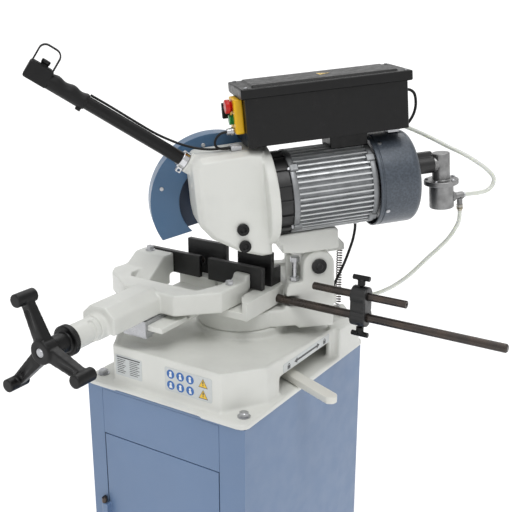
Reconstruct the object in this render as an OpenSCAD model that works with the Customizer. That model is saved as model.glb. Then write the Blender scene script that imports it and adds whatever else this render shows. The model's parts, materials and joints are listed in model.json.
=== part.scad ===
// Circular cold saw on a cabinet stand, head swivelled 45 degrees, arbor without a blade.
// Origin: floor, centre of the cabinet. +X right, +Y rear, +Z up. Millimetres.

/* [Stand] */
// Width of the cabinet
cabinet_w = 400; // [380:1:480]
// Depth of the cabinet
cabinet_d = 497; // [470:1:600]
// Height of the stand top above the floor
stand_h = 800; // [600:5:960]
// Sheet thickness of the cabinet
sheet = 2.5; // [1.5:0.5:4]
// Radius of the floor anchor holes
anchor_r = 6.5; // [4:0.5:9]
// Height of the closed fascia above the door
fascia_h = 104; // [60:1:160]
// Gap around the door
door_gap = 2; // [1:0.5:4]

/* [Base and table] */
// Thickness of the base flange
flange_t = 12; // [8:1:20]
// Height of the base casting above the stand top, at its front edge
base_h = 95; // [90:1:104]
// Radius of the turntable ring
ring_r = 97; // [92:1:104]
// Radius of the fixed pillar in the turntable
pillar_r = 70; // [50:1:72]
// Height of the table top above the stand top
table_h = 180; // [176:1:190]
// Height of the rear jaws
rear_jaw_h = 76; // [50:1:78]
// Thickness of the jaws
jaw_t = 12; // [8:1:14]
// Gap between the left and right rear jaws
jaw_gap = 30; // [20:1:34]

/* [Length stop] */
// Length of the long stop rod
rod_len = 508; // [400:5:560]
// Diameter of the long stop rod
rod_d = 18; // [14:1:20]
// Diameter of the short stop bar
bar_d = 16; // [12:1:18]
// Distance of the stop block from the table
stop_at = 199; // [150:1:280]

/* [Vise] */
// Distance of the screw axis left of the swivel axis
screw_x = 99; // [90:1:104]
// Height of the fork casting
fork_h = 46; // [36:1:48]
// Length of the handwheel arms
wheel_r = 105; // [80:1:115]
// Diameter of the handwheel grips
wheel_grip_d = 26; // [20:1:30]
// Diameter of the vise screw
screw_d = 20; // [14:1:24]

/* [Head] */
// Swivel of the head to the right
swivel = 45; // [45:1:45]
// Pitch of the head at rest
pitch = 5; // [5:1:5]
// Largest blade diameter
blade_d = 275; // [250:1:280]
// Width of the blade guard
guard_w = 44; // [34:1:48]
// Radius of the arbor nose
arbor_r = 16; // [12:0.5:20]
// Radius of the pivot pin
pivot_r = 14; // [10:1:16]
// Diameter of the finned motor body
motor_d = 176; // [150:1:184]
// Diameter of the fan cover
fan_d = 196; // [180:1:200]
// Length of the fan cover
fan_len = 92; // [80:1:104]
// Length of the feed handle
handle_len = 368; // [300:1:420]
// Diameter of the handle tube
handle_d = 27; // [22:1:30]

/* [Electrics and coolant] */
// Length of the electrics box
ebox_len = 336; // [290:1:340]
// Width of the electrics box
ebox_w = 118; // [100:1:130]
// Height of the electrics box
ebox_h = 97; // [80:1:110]
// Outer diameter of the coolant hoses
hose_d = 9; // [8:0.5:10]
// Diameter of the black cables
cable_d = 6; // [5:0.5:7]

/* [Hidden] */
$fn = 64;
eps = 0.01;
fit = 0.05;                 // radial clearance of running fits
play = 0.3;                 // clearance between separate bodies
swivel_y = 41;              // swivel axis, behind the cabinet centre
top = stand_h;
base_x = 190;
base_y = 235;
bolt_x = cabinet_w / 2 - 20;   // the base is bolted to the rim of the stand top
bolt_y = cabinet_d / 2 - 28.5;
deck_z = top + 64;
base_top = top + base_h;
seat_z = top + 96;
ring_z = seat_z + 0.5;
ring_h = 39;
table_z = top + table_h;
table_low = table_z - 40;
table_x = 92;
rod_y = swivel_y + 9;
rod_z = table_z - 26;
stop_x = table_x + stop_at;
stop_w = 34;
pivot_y = 155;
pivot_z = top + 230;
lug_r = 35;
lug_in = 57;
lug_out = 85;
fork_z = top + 158;
screw_z = fork_z + 14;
front_jaw_y = 5;
arbor = [-189, 152];        // spindle axis in the head: rearwards, up
motor = [65, 170];          // motor axis in the head: near side, up
blade_at = -16;             // blade plane, sideways from the swivel axis
guard_r = blade_d / 2 + 9.5;
guard_in = guard_r - 61;
guard_near = 6;
gear_face = 8;
gear_near = 126;
skirt_in = 104;
worm_up = 206;
wheel_gear_r = 38;
adapter_y = -90;
adapter_r = 84;
body_y = -60;
fan_y = 121;
ebox_y = -138;
ebox_z = 283;
ebox_x = 10;
lid_h = 20;
handle_up = 38;
handle_root = [-245, 250];
handle_x = 60;
pump = [85, 283, 154];       // pump axis and the height of its flange
barb_z = 112;
tank_z = 4;

// Hose and cable routes, in the head's frame: sideways, rearwards, up
feed_route = [[85, 337, 112], [85, 352, 112], [85, 370, 111.6], [84, 390, 114], [82, 404, 124],
    [77, 408, 140], [66, 396, 158], [52, 376, 176], [38, 354, 192], [24, 330, 206], [10, 305, 222],
    [-4, 275, 240], [-14, 240, 258], [-22, 200, 272], [-28, 155, 280], [-31, 105, 284], [-32, 50, 286],
    [-31, 0, 286], [-24, -40, 283], [-6, -64, 280], [12, -82, 277.5], [18, -94, 276],
    [18, -104, 276]];
handle_cable_route = [[78, -168, 280], [75, -184, 279], [70, -204, 279], [64, -222, 281], [60, -238, 285],
    [60, -256, 292], [60, -280, 304], [60, -311, 323], [60, -340, 345], [60, -369, 368], [60, -398, 391],
    [60, -427, 413]];
motor_cable_route = [[70, 212, 352], [70, 224, 350], [70, 233, 342], [70, 236, 328], [70, 235, 312],
    [70, 229, 296], [70, 218, 282], [70, 206, 275], [70, 192, 273]];
panel_cable_route = [[84, -172, 313], [84, -184, 311], [84, -194, 303], [84, -198, 292], [84, -194, 284],
    [84, -184, 280], [84, -168, 279]];
// Routes in the turntable's frame: sideways, rearwards, height over the stand top
suction_route = [[85, 471, 343], [85, 472.3, 328], [83, 472, 310], [79, 465, 290], [74, 453, 268],
    [68, 435, 246], [62, 412, 222], [57, 388, 196], [53, 364, 174], [48, 336, 155], [42, 306, 141],
    [34, 284, 135], [22, 264, 133], [8, 248, 134], [-4, 233, 135], [-11, 219, 135], [-12, 206.4, 135]];
supply_route = [[50, 245, 312], [50, 245, 298], [50, 241, 274], [50, 233, 248], [49, 224, 222],
    [48, 214, 198], [47, 206, 180], [46, 201, 165], [46, 199, 150]];

function dir(a) = [cos(a), sin(a)];

// Frames that the pieces are drawn in
module turn() { translate([0, swivel_y, 0]) rotate([0, 0, -swivel]) children(); }
module head() { turn() translate([0, pivot_y, pivot_z]) rotate([pitch, 0, 0]) children(); }
// A profile in the rear-up plane, extruded sideways from x0 to x1
module side(x0, x1) { translate([x0, 0, 0]) rotate([90, 0, 90]) linear_extrude(x1 - x0) children(); }
module rod_x(x0, x1, y, z, r) { translate([x0, y, z]) rotate([0, 90, 0]) cylinder(h = x1 - x0, r = r); }
module rod_y(y0, y1, x, z, r) { translate([x, y0, z]) rotate([-90, 0, 0]) cylinder(h = y1 - y0, r = r); }
module rod_z(z0, z1, x, y, r) { translate([x, y, z0]) cylinder(h = z1 - z0, r = r); }
module hex_z(z0, z1, x, y, r) { translate([x, y, z0]) cylinder(h = z1 - z0, r = r, $fn = 6); }
module slab(x, y, z) { translate([x[0], y[0], z[0]]) cube([x[1] - x[0], y[1] - y[0], z[1] - z[0]]); }
module corners(dx, dy) { for (x = [-dx, dx], y = [-dy, dy]) translate([x, y, 0]) children(); }
module plate(w, d, r) { hull() for (x = [r - w / 2, w / 2 - r], y = [r - d / 2, d / 2 - r])
    translate([x, y]) circle(r, $fn = 32); }

// A tube swept along a route: rings square to the path, joined by quads
function unit(v) = v / norm(v);
function spline(p, i, t) = let (n = len(p) - 1, a = p[max(i - 1, 0)], b = p[i], c = p[min(i + 1, n)],
    d = p[min(i + 2, n)]) 0.5 * (2 * b + (c - a) * t + (2 * a - 5 * b + 4 * c - d) * t * t
    + (3 * b - a - 3 * c + d) * t * t * t);
function smooth(p, k) = [for (i = [0 : len(p) - 2], j = [0 : k - 1]) spline(p, i, j / k), p[len(p) - 1]];
function ring(p, i, r, s) = let (n = len(p) - 1, t = unit(p[min(i + 1, n)] - p[max(i - 1, 0)]),
    ref = abs(t[0]) < 0.9 ? [1, 0, 0] : [0, 1, 0], u = unit(cross(t, ref)), v = cross(t, u))
    [for (j = [0 : s - 1]) p[i] + r * (cos(360 * j / s) * u + sin(360 * j / s) * v)];
module tube(route, d, steps, sides) {
    p = smooth(route, steps);
    n = len(p);
    points = [for (i = [0 : n - 1]) each ring(p, i, d / 2, sides)];
    skin = [for (i = [0 : n - 2], j = [0 : sides - 1]) let (k = (j + 1) % sides)
        [i * sides + j, (i + 1) * sides + j, (i + 1) * sides + k, i * sides + k]];
    cap0 = [for (j = [0 : sides - 1]) j];
    cap1 = [for (j = [sides - 1 : -1 : 0]) (n - 1) * sides + j];
    polyhedron(points, concat(skin, [cap0, cap1]), convexity = 6);
}
function lifted(route) = [for (q = route) q + [0, 0, top]];

// ---- Cabinet ----
door_x0 = -160 + door_gap;
door_x1 = cabinet_w / 2 - 60 - door_gap;
open_z0 = 55;
fascia_z = top - fascia_h - 6;
door_z1 = fascia_z - door_gap;
front_y = -cabinet_d / 2;
hinge_x = door_x0 - 6;
hinge_y = front_y - 8;
hinge_pin_r = 3;
hinges = [130, 480];
hinge_len = 40;
latch_x = door_x1 - 26;
latch_z = 440;
latch_r = 10;

module cabinet_shell() color([0.43, 0.53, 0.68]) difference() {
    slab([-cabinet_w / 2, cabinet_w / 2], [front_y, -front_y], [0, top]);
    slab([sheet - cabinet_w / 2, cabinet_w / 2 - sheet], [front_y + sheet, -front_y - sheet], [tank_z, top - 4]);
    slab([-160, cabinet_w / 2 - 60], [front_y - 1, front_y + sheet + 1], [open_z0, top - 6]);
    rod_z(-1, tank_z + 1, 0, 0, 40);
    rod_z(top - 5, top + 1, -90, 120, 22);
    corners(cabinet_w / 2 - 30, cabinet_d / 2 - 28.5) rod_z(-1, tank_z + 1, 0, 0, anchor_r);
    corners(bolt_x, bolt_y) rod_z(top - 5, top + 1, 0, 0, 6.4);
}

module cabinet_fascia() color([0.43, 0.53, 0.68]) {
    slab([-160 + play, cabinet_w / 2 - 60 - play], [front_y, front_y + sheet], [fascia_z, top - 6 - play]);
    for (z = [fascia_z, top - 6 - play - sheet])
        slab([-160 + play, cabinet_w / 2 - 60 - play], [front_y + sheet, front_y + 22], [z, z + sheet]);
}

module door_hinge_pins() color([0.3, 0.32, 0.35]) for (z = hinges) {
    rod_z(z - 12, z + hinge_len + 12, hinge_x, hinge_y, hinge_pin_r);
    for (e = [z - 12, z + hinge_len + play]) {
        rod_z(e, e + 11.5, hinge_x, hinge_y, 6);
        slab([hinge_x - 6, hinge_x], [hinge_y, front_y], [e, e + 11.5]);
    }
}

module cabinet_door() color([0.43, 0.53, 0.68]) difference() {
    union() {
        difference() {
            slab([door_x0, door_x1], [front_y, front_y + 18], [open_z0 + door_gap, door_z1]);
            slab([door_x0 + sheet, door_x1 - sheet], [front_y + sheet, front_y + 19],
                [open_z0 + door_gap + sheet, door_z1 - sheet]);
        }
        for (z = hinges) {
            rod_z(z, z + hinge_len, hinge_x, hinge_y, 6);
            slab([hinge_x, door_x0 + 6], [hinge_y - 6, hinge_y - 3.5], [z, z + hinge_len]);
            slab([door_x0 + 1, door_x0 + 6], [hinge_y - 6, front_y], [z, z + hinge_len]);
        }
    }
    for (z = hinges) rod_z(z - 1, z + hinge_len + 1, hinge_x, hinge_y, hinge_pin_r + fit);
    rod_y(front_y - 1, front_y + sheet + 1, latch_x, latch_z, latch_r + fit);
}

module door_latch() color([0.6, 0.6, 0.62]) {
    rod_y(front_y - 5, front_y - play, latch_x, latch_z, latch_r + 4);
    rod_y(front_y - play, front_y + 24, latch_x, latch_z, latch_r);
    slab([latch_x - 9, latch_x + 9], [front_y + 20, front_y + 24], [latch_z - 30, latch_z + 9]);
}

module coolant_tank() color([0.2, 0.22, 0.25]) difference() {
    slab([-150, 130], [-170, 170], [tank_z, 230]);
    slab([-146, 126], [-166, 166], [tank_z + 4, 231]);
}

// ---- Base casting ----
base_outline = [[-base_x, base_y], [-base_x, -155], [-136, -base_y], [136, -base_y], [base_x, -150],
    [base_x, base_y]];
lever_hole = [-102, 112];

module base_casting() color([0.87, 0.87, 0.85]) difference() {
    union() {
        translate([0, 0, top]) linear_extrude(flange_t) plate(cabinet_w + 10, cabinet_d + 13, 18);
        difference() {
            translate([0, 0, top]) linear_extrude(base_h) polygon(base_outline);
            translate([0, -base_y, base_top]) rotate([-3, 0, 0]) slab([-300, 300], [-20, 600], [0, 60]);
            // Shallow tray in the sloping deck, draining to the rear
            translate([0, -base_y, base_top - 5]) rotate([-3.4, 0, 0]) linear_extrude(60)
                translate([0, base_y]) offset(delta = -9) polygon(base_outline);
        }
        translate([0, 0, top]) linear_extrude(77) polygon([[base_x - 20, 130], [205, 130], [205, 228], [196, 236],
            [base_x - 20, 236]]);
        translate([0, swivel_y, 0]) rod_z(top, seat_z, 0, 0, ring_r + 3);
        rod_z(top, table_low, 0, swivel_y, pillar_r);
    }
    // Hollow below the deck, where the locking lever turns about the pillar's screw
    difference() {
        translate([0, 0, top + flange_t]) linear_extrude(38) offset(delta = -12) polygon(base_outline);
        rod_z(top, deck_z, 0, swivel_y, 26);
    }
    slab([base_x - 30, base_x + 10], lever_hole, [top + flange_t, top + 50]);
    rod_z(top - 1, top + flange_t + 1, -90, 120, 18);
    corners(bolt_x, bolt_y) rod_z(top - 1, top + flange_t + 1, 0, 0, 6.4);
    corners(bolt_x, bolt_y) rod_z(top + flange_t, top + 120, 0, 0, 17);
    slab([-120, 100], [-260, -246], [top - 1, top + 3]);
}
module base_bolts() color([0.7, 0.7, 0.7]) corners(bolt_x, bolt_y) {
    rod_z(top + flange_t, top + flange_t + 2.5, 0, 0, 13);
    hex_z(top + flange_t + 2.5, top + flange_t + 11, 0, 0, 10.5);
    rod_z(top - 14, top + flange_t + 3, 0, 0, 6);
    hex_z(top - 14, top - 4.3, 0, 0, 10);
}

module info_plates() color([0.8, 0.81, 0.8]) {
    slab([-130, -60], [-base_y - 1.2, -base_y], [top + 30, top + 76]);
    slab([0, 116], [-base_y - 1.2, -base_y], [top + 28, top + 80]);
    slab([base_x, base_x + 1.2], [-92, 108], [top + 53, top + 74]);
}

// ---- Table, rear jaws, length stop ----
plate_z = table_low - 4;    // slide plate under the vise
plate_t = 12;
plate_y = -215;
key_y = -125;
module table_bed() color([0.87, 0.87, 0.85]) difference() {
    translate([0, 0, table_low]) union() {
        linear_extrude(40) polygon([[-150, 15], [table_x, 15], [table_x, 70], [70, 90], [0, 97], [-70, 92],
            [-150, 17]]);
        linear_extrude(16) polygon([[-150, 16], [-150, -40], [-112, -74], [table_x, -74], [table_x, 16]]);
        linear_extrude(40) polygon([[table_x - 36, -40], [table_x - 12, -74], [table_x, -74], [table_x, 16],
            [table_x - 36, 16]]);
        translate([0, 0, plate_z - table_low]) slab([-206, -20], [plate_y, -73], [0, plate_t]);
    }
    slab([-210, -10], [key_y - 5, key_y + 5], [plate_z + plate_t - 6, plate_z + plate_t + 1]);
    rod_x(table_x - 34, table_x + 1, rod_y, rod_z, rod_d / 2 + fit);
    // Slots for the blade at the three usual angles
    for (a = [-45, 0, 45]) translate([0, swivel_y, 0]) rotate(a)
        slab([blade_at - 3, blade_at + 3], [-100, 62], [table_z - 14, table_z + 1]);
}
jaw_l = [-144, blade_at - 7 - jaw_gap / 2];
jaw_r = [blade_at - 7 + jaw_gap / 2, 80];
module rear_jaw_left() color([0.12, 0.12, 0.12]) difference() {
    slab(jaw_l, [swivel_y, swivel_y + jaw_t], [table_z, table_z + rear_jaw_h]);
    rod_y(swivel_y - 1, swivel_y + 6, -105, table_z + 30, 8);
    rod_y(swivel_y - 1, swivel_y + 6, -70, table_z + 30, 8);
}
module rear_jaw_right() color([0.12, 0.12, 0.12]) difference() {
    union() {
        slab(jaw_r, [swivel_y, swivel_y + jaw_t], [table_z, table_z + rear_jaw_h]);
        slab([jaw_r[1] - 8, jaw_r[1]], [swivel_y + jaw_t, swivel_y + 40], [table_z, table_z + 40]);
    }
    rod_y(swivel_y - 1, swivel_y + 6, 22, table_z + 30, 8);
    rod_y(swivel_y - 1, swivel_y + 6, 56, table_z + 30, 8);
}
module stop_rod() color([0.16, 0.16, 0.17]) {
    rod_x(table_x - 34, table_x + rod_len - 2, rod_y, rod_z, rod_d / 2);
    rod_x(table_x + rod_len - 2, table_x + rod_len, rod_y, rod_z, rod_d / 2 - 2);
}
bar_z = rod_z + 46;
stop_top = bar_z + 20;
stop_low = rod_z - 20;
module stop_block() color([0.11, 0.11, 0.12]) difference() {
    union() {
        slab([stop_x - stop_w / 2, stop_x + stop_w / 2], [rod_y - 17, rod_y + 17], [rod_z + 14, bar_z - 12]);
        rod_x(stop_x - stop_w / 2, stop_x + stop_w / 2, rod_y, rod_z, 20);
        rod_x(stop_x - stop_w / 2, stop_x + stop_w / 2, rod_y, bar_z, 20);
    }
    rod_x(stop_x - 30, stop_x + 30, rod_y, rod_z, rod_d / 2 + fit);
    rod_x(stop_x - 30, stop_x + 30, rod_y, bar_z, bar_d / 2 + fit);
    rod_z(stop_low - 1, rod_z - rod_d / 2 + 1, stop_x, rod_y, 4 + fit);
    rod_z(bar_z + bar_d / 2 - 1, stop_top + 1, stop_x, rod_y, 4 + fit);
}
module stop_bar() color([0.2, 0.19, 0.18]) difference() {
    rod_x(stop_x - 111, stop_x + 101, rod_y, bar_z, bar_d / 2);
    rod_x(stop_x + 95, stop_x + 102, rod_y, bar_z, 3);
}
module thumb_screw() color([0.12, 0.12, 0.12]) {
    rod_z(play, 18, 0, 0, 4);
    rod_z(14, 26, 0, 0, 8);
    rod_x(-19, 19, 0, 30, 5.5);
    rod_z(24, 30, 0, 0, 6);
}
module stop_knob_upper() translate([stop_x, rod_y, bar_z + bar_d / 2]) thumb_screw();
module stop_knob_lower() translate([stop_x, rod_y, rod_z - rod_d / 2]) mirror([0, 0, 1]) thumb_screw();

// ---- Locking lever under the base deck ----
lever_z = top + 15;
lever_a = -22.5;
lever_len = 332;
module lock_lever() color([0.88, 0.88, 0.86]) translate([0, swivel_y, lever_z]) rotate(lever_a) difference() {
    union() {
        translate([0, 0, 0]) cylinder(h = 18, r = 40);
        slab([20, lever_len - 14], [-14, 14], [1, 16]);
        translate([lever_len - 14, 0, 1]) cylinder(h = 15, r = 14);
    }
    translate([0, 0, -1]) cylinder(h = 22, r = 26 + fit);
}

// ---- Turntable ----
ledge_z = top + 195;
module lug_profile() {
    polygon([[20, ring_z], [20, ring_z + 26], [80, ring_z + ring_h], [86, top + 186], [91, ledge_z],
        [pivot_y - lug_r, ledge_z], [pivot_y - lug_r, pivot_z], [pivot_y + lug_r, pivot_z], [191, top + 200],
        [191, top + 90], [112, top + 90], [106, ring_z]]);
    translate([pivot_y, pivot_z]) circle(lug_r);
}
stop_bolt = [66, 106];
module turntable_yoke() color([0.87, 0.87, 0.85]) turn() difference() {
    union() {
        rod_z(ring_z, ring_z + ring_h, 0, 0, ring_r);
        slab([-lug_out, lug_out], [20, 112], [ring_z, ring_z + ring_h]);
        for (x = [-lug_out, lug_in]) side(x, x + lug_out - lug_in) lug_profile();
        slab([-lug_in - 1, lug_in + 1], [92, 122], [ring_z, top + 188]);
        slab([-lug_in - 1, lug_in + 1], [176, 191], [top + 90, top + 176]);
        slab([-lug_in - 1, lug_in + 1], [110, 191], [top + 90, top + 102]);
        slab([lug_in - 20, lug_in + 1], [92, 122], [top + 170, ledge_z]);
        slab([lug_out - 48, lug_out - 44], [92, 112], [top + 180, top + 246]);
        slab([14, 42], [190, 236], [top + 104, top + 112]);
        slab([-28, 4], [190, 206], [top + 120, top + 150]);
        slab([38, 54], [190, 207], [top + 128, top + 150]);
    }
    rod_z(ring_z - 1, ring_z + ring_h + 1, 0, 0, pillar_r + 2);
    rod_x(-lug_out - 1, lug_out + 1, pivot_y, pivot_z, pivot_r + fit);
    rod_z(top + 150, top + 215, stop_bolt[0], stop_bolt[1], 6);
    rod_z(top + 100, top + 120, 30, 218, 3.2);
    slab([-40, 30], [91, 98], [ring_z + ring_h + 8, top + 176]);
    // Clear of the long stop rod
    translate([0, 0, rod_z - rod_d / 2 - 2]) linear_extrude(rod_d + 4)
        polygon([[50, 78], [90, 118], [90, 40], [50, 40]]);
}
module pivot_pin() color([0.12, 0.12, 0.13]) turn() {
    rod_x(-lug_out - 4, lug_out, pivot_y, pivot_z, pivot_r);
    for (x = [-lug_out - 5, lug_out]) rod_x(x, x + 5, pivot_y, pivot_z, pivot_r + 2.5);
    rod_x(lug_out + 5, lug_out + 8, pivot_y, pivot_z, 7);
}
// Depth stop with its lock nut, spring eye and hose clip
module yoke_bolts() color([0.62, 0.62, 0.64]) turn() {
    rod_z(top + 155, top + 249, stop_bolt[0], stop_bolt[1], 5.9);
    hex_z(ledge_z, ledge_z + 9, stop_bolt[0], stop_bolt[1], 11);
    hex_z(top + 238, top + 249, stop_bolt[0], stop_bolt[1], 11);
    rod_z(top + 100, top + 118, 30, 218, 3.1);
    hex_z(top + 98, top + 104, 30, 218, 6);
    rod_x(-lug_out - 12, -lug_out - 5, pivot_y, pivot_z, 8);
}
spring_z = [top + 118, top + 246.6];
module return_spring() color([0.35, 0.35, 0.36]) turn() difference() {
    rod_z(spring_z[0], spring_z[1], 30, 218, 7);
    rod_z(spring_z[0] - 1, spring_z[1] + 1, 30, 218, 4);
}

// ---- Vise ----
cross_top = fork_z - play;
nut_y = [-206, -150];
cross_x = [-screw_x - 43, -screw_x + 43];
module vise_cross_slide() color([0.66, 0.66, 0.65]) difference() {
    union() {
        slab(cross_x, [plate_y - 8, -104], [plate_z + plate_t + play, cross_top]);
        slab(cross_x, [plate_y - 8, plate_y - play], [plate_z - 12, plate_z + plate_t + 1]);
        slab(cross_x, [plate_y - 8, plate_y + 36], [plate_z - 12, plate_z - play]);
        slab([cross_x[0] + 12, cross_x[1] - 12], [plate_y + 8, plate_y + 28], [plate_z - 24, plate_z - 11]);
        slab(cross_x, [key_y - 5 + play, key_y + 5 - play], [plate_z + plate_t - 5, cross_top]);
        slab([-screw_x - 18, -screw_x + 18], nut_y, [cross_top - play, screw_z + 16]);
    }
    rod_y(-300, 0, -screw_x, screw_z, screw_d / 2 + fit);
}
module fork_outline() polygon([[-250, -92], [-236, -116], [-140 - 16, -170], [-24, -170], [47, -100],
    [50, -4], [14, -4], [14, -60], [-6, -116], [-180, -116], [-196, -96], [-196, -4], [-242, -4]]);
module vise_fork() color([0.87, 0.87, 0.85]) difference() {
    union() {
        translate([0, 0, fork_z]) linear_extrude(fork_h) fork_outline();
        // Block that carries the left jaw, and the ram box with a chamfered ridge
        translate([-241, 0, fork_z]) side(0, 84) polygon([[-92, 0], [-92, 26], [-28, 70],
            [front_jaw_y, 70], [front_jaw_y, 23], [-10, 23], [-10, 0]]);
        translate([14, 0, fork_z]) side(0, 36) polygon([[-14, 30], [-14, fork_h], [-8, 58],
            [front_jaw_y, 58], [front_jaw_y, 23], [-4, 23]]);
        translate([-screw_x, -314, 0]) rotate([-90, 0, 0]) mirror([0, 1, 0]) linear_extrude(150)
            polygon([[-41, fork_z], [41, fork_z], [41, fork_z + 34], [20, fork_z + 54],
                [-20, fork_z + 54], [-41, fork_z + 34]]);
        rod_y(-330, -300, -screw_x, screw_z, 27);
    }
    slab([-screw_x - 19, -screw_x + 19], [nut_y[0] - 20, -80], [fork_z - 1, screw_z + 17]);
    rod_y(-331, -80, -screw_x, screw_z, screw_d / 2 + fit);
}
module front_jaw_left() color([0.12, 0.12, 0.12]) difference() {
    slab([-236, -86], [front_jaw_y, front_jaw_y + jaw_t], [table_z + 1, table_z + 51]);
    rod_y(front_jaw_y + 7, front_jaw_y + jaw_t + 1, -206, table_z + 30, 8);
    rod_y(front_jaw_y + 7, front_jaw_y + jaw_t + 1, -176, table_z + 30, 8);
}
module front_jaw_right() color([0.12, 0.12, 0.12]) difference() {
    slab([-63, 79], [front_jaw_y, front_jaw_y + jaw_t], [table_z + 1, table_z + 51]);
    rod_y(front_jaw_y + 7, front_jaw_y + jaw_t + 1, 24, table_z + 30, 8);
    rod_y(front_jaw_y + 7, front_jaw_y + jaw_t + 1, 42, table_z + 30, 8);
}
// The two clamp bolts on top of the fork, and the heads of the jaw screws
module jaw_bolts() color([0.68, 0.68, 0.68]) {
    rod_z(fork_z + 70, fork_z + 72, -214, -8, 11);
    hex_z(fork_z + 72, fork_z + 80, -214, -8, 8.5);
    hex_z(fork_z + fork_h, fork_z + fork_h + 8, 32, -50, 9);
    for (x = [-206, -176, 24, 42])
        rod_y(front_jaw_y + 7, front_jaw_y + jaw_t - 1, x, table_z + 30, 7.5);
}
module screw_sleeve() color([0.88, 0.88, 0.87]) difference() {
    rod_y(-392, -330 - eps, -screw_x, screw_z, 25);
    rod_y(-393, -329, -screw_x, screw_z, screw_d / 2 + fit);
    difference() {
        rod_y(-352, -342, -screw_x, screw_z, 26);
        rod_y(-353, -341, -screw_x, screw_z, 21);
        slab([-screw_x - 30, -screw_x + 8], [-354, -340], [screw_z - 30, screw_z + 30]);
    }
}
module vise_screw() color([0.6, 0.6, 0.62]) rod_y(-440, -100, -screw_x, screw_z, screw_d / 2);
hub_y = -458;
arm_a = [107, 227, 347];
module handwheel() color([0.08, 0.08, 0.09]) translate([-screw_x, 0, screw_z]) {
    difference() {
        union() {
            rod_y(-406, -392 - play, 0, 0, 30);
            rod_y(-440, -406, 0, 0, 20);
            rod_y(hub_y - 12, -440, 0, 0, 24);
        }
        rod_y(-440, -390, 0, 0, screw_d / 2);
        rod_y(hub_y - 13, hub_y - 6, 0, 0, 9);
    }
    for (a = arm_a) rotate([0, -a, 0]) {
        difference() {
            hull() {
                rod_y(hub_y - 6, hub_y + 14, 16, 0, 15);
                rod_y(hub_y - 13, hub_y + 3, wheel_r - 8, 0, 11);
            }
            slab([30, wheel_r - 22], [hub_y - 30, hub_y - 9], [-5, 5]);
        }
        rod_y(hub_y - 32, hub_y + 14, wheel_r, 0, wheel_grip_d / 2);
    }
}

// ---- Head ----
front_block = [[-252, 160], [-252, 258], [-236, 272], [-133, 275], [-104, 270], [-104, 52], [-127, 51],
    [-172, 67], [-227, 103], [-249, 132]];
arm_profile = [[-108, 96], [-39, 96], [20, 91], [46, 79], [45, 36], [-38, 36], [-78, 42], [-108, 52]];
boss_r = 30;
boss_up = 14;
module gearbox_housing() color([0.87, 0.87, 0.85]) head() difference() {
    union() {
        hull() {
            side(gear_face, gear_near - 16) polygon(front_block);
            side(gear_near - 1, gear_near) offset(delta = -9) polygon(front_block);
        }
        side(20, 92) polygon(arm_profile);
        rod_x(-lug_in + play, lug_in - play, 0, 0, boss_r);
        side(20, lug_in - play) polygon([[-boss_r, 0], [-boss_r, 40], [boss_r, 40], [boss_r, 0]]);
        side(22, 38) polygon([[28, 12], [28, 60], [46, 60], [74, 26], [74, 12]]);
        rod_y(adapter_y - 22, adapter_y, motor[0], motor[1], 104);
        for (b = guard_bolts) rod_x(guard_near, gear_face + 1, b[0], b[1], 10);
        translate([handle_x, handle_root[0], handle_root[1]]) rotate([90 - handle_up, 0, 0])
            translate([0, 0, -34]) cylinder(h = 34 + boss_up, r = handle_d / 2 + 8);
    }
    // Recess below, over the vise, so that the head clears the jaws when it is down
    side(-1, skirt_in) polygon([[-300, 141], [-78, 60.5], [-78, 42], [-110, 20], [-300, 20]]);
    // Gear case
    rod_x(22, 108, arbor[0], arbor[1], wheel_gear_r + 4);
    side(22, 108) polygon([[-240, 152], [-240, 250], [-118, 256], [-118, 140], [-150, 152]]);
    rod_y(-128, adapter_y + 1, motor[0], motor[1], 46);
    rod_x(0, gear_face + 20, arbor[0], arbor[1], arbor_r + 4 + fit);
    rod_x(100, gear_near - 6, arbor[0], arbor[1], arbor_r + fit);
    rod_y(-250, -230, motor[0], worm_up, 8 + fit);
    rod_x(-lug_in - 1, lug_in + 1, 0, 0, pivot_r + fit);
    rod_y(adapter_y, 60, motor[0], motor[1], max(motor_d / 2 + 1, adapter_r + play));
    translate([handle_x, handle_root[0], handle_root[1]]) rotate([90 - handle_up, 0, 0])
        translate([0, 0, -30]) cylinder(h = 60, r = handle_d / 2 + fit);
    for (p = plugs) rod_x(gear_near - 8, gear_near + 1, p[0], p[1], 9);
}
plugs = [[-165, 119], [-164, 83]];
module oil_plugs() color([0.08, 0.08, 0.08]) head() for (p = plugs) difference() {
    union() {
        rod_x(gear_near - 8, gear_near, p[0], p[1], 9 - fit);
        rod_x(gear_near, gear_near + 7, p[0], p[1], 12.5);
    }
    rod_x(gear_near + 3, gear_near + 8, p[0], p[1], 6);
}
module spindle() color([0.66, 0.66, 0.68]) head() {
    rod_x(blade_at - 10, blade_at + 1.5, arbor[0], arbor[1], arbor_r);
    rod_x(blade_at + 1.5, 1, arbor[0], arbor[1], 38);
    rod_x(1, gear_face + 18, arbor[0], arbor[1], arbor_r + 4);
    rod_x(gear_face + 18, gear_near - 8, arbor[0], arbor[1], arbor_r);
    rod_x(56, 74, arbor[0], arbor[1], wheel_gear_r);
    rod_x(blade_at - 14, blade_at - 10, arbor[0], arbor[1], 6);
}
worm_r = worm_up - arbor[1] - wheel_gear_r - play;
pinion_r = 15;
module worm_shaft() color([0.62, 0.62, 0.64]) head() {
    rod_y(-246, -124, motor[0], worm_up, 8);
    rod_y(-222, -156, motor[0], worm_up, worm_r);
    rod_y(-138, -126, motor[0], worm_up, worm_up - motor[1] - pinion_r - play);
}
module motor_rotor() color([0.55, 0.55, 0.57]) head() {
    rod_y(-140, fan_y + 40, motor[0], motor[1], 10);
    rod_y(-138, -126, motor[0], motor[1], pinion_r);
    rod_y(body_y + 24, fan_y - 24, motor[0], motor[1], 58);
    rod_y(fan_y + 18, fan_y + 36, motor[0], motor[1], fan_d / 2 - 14);
}
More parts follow.
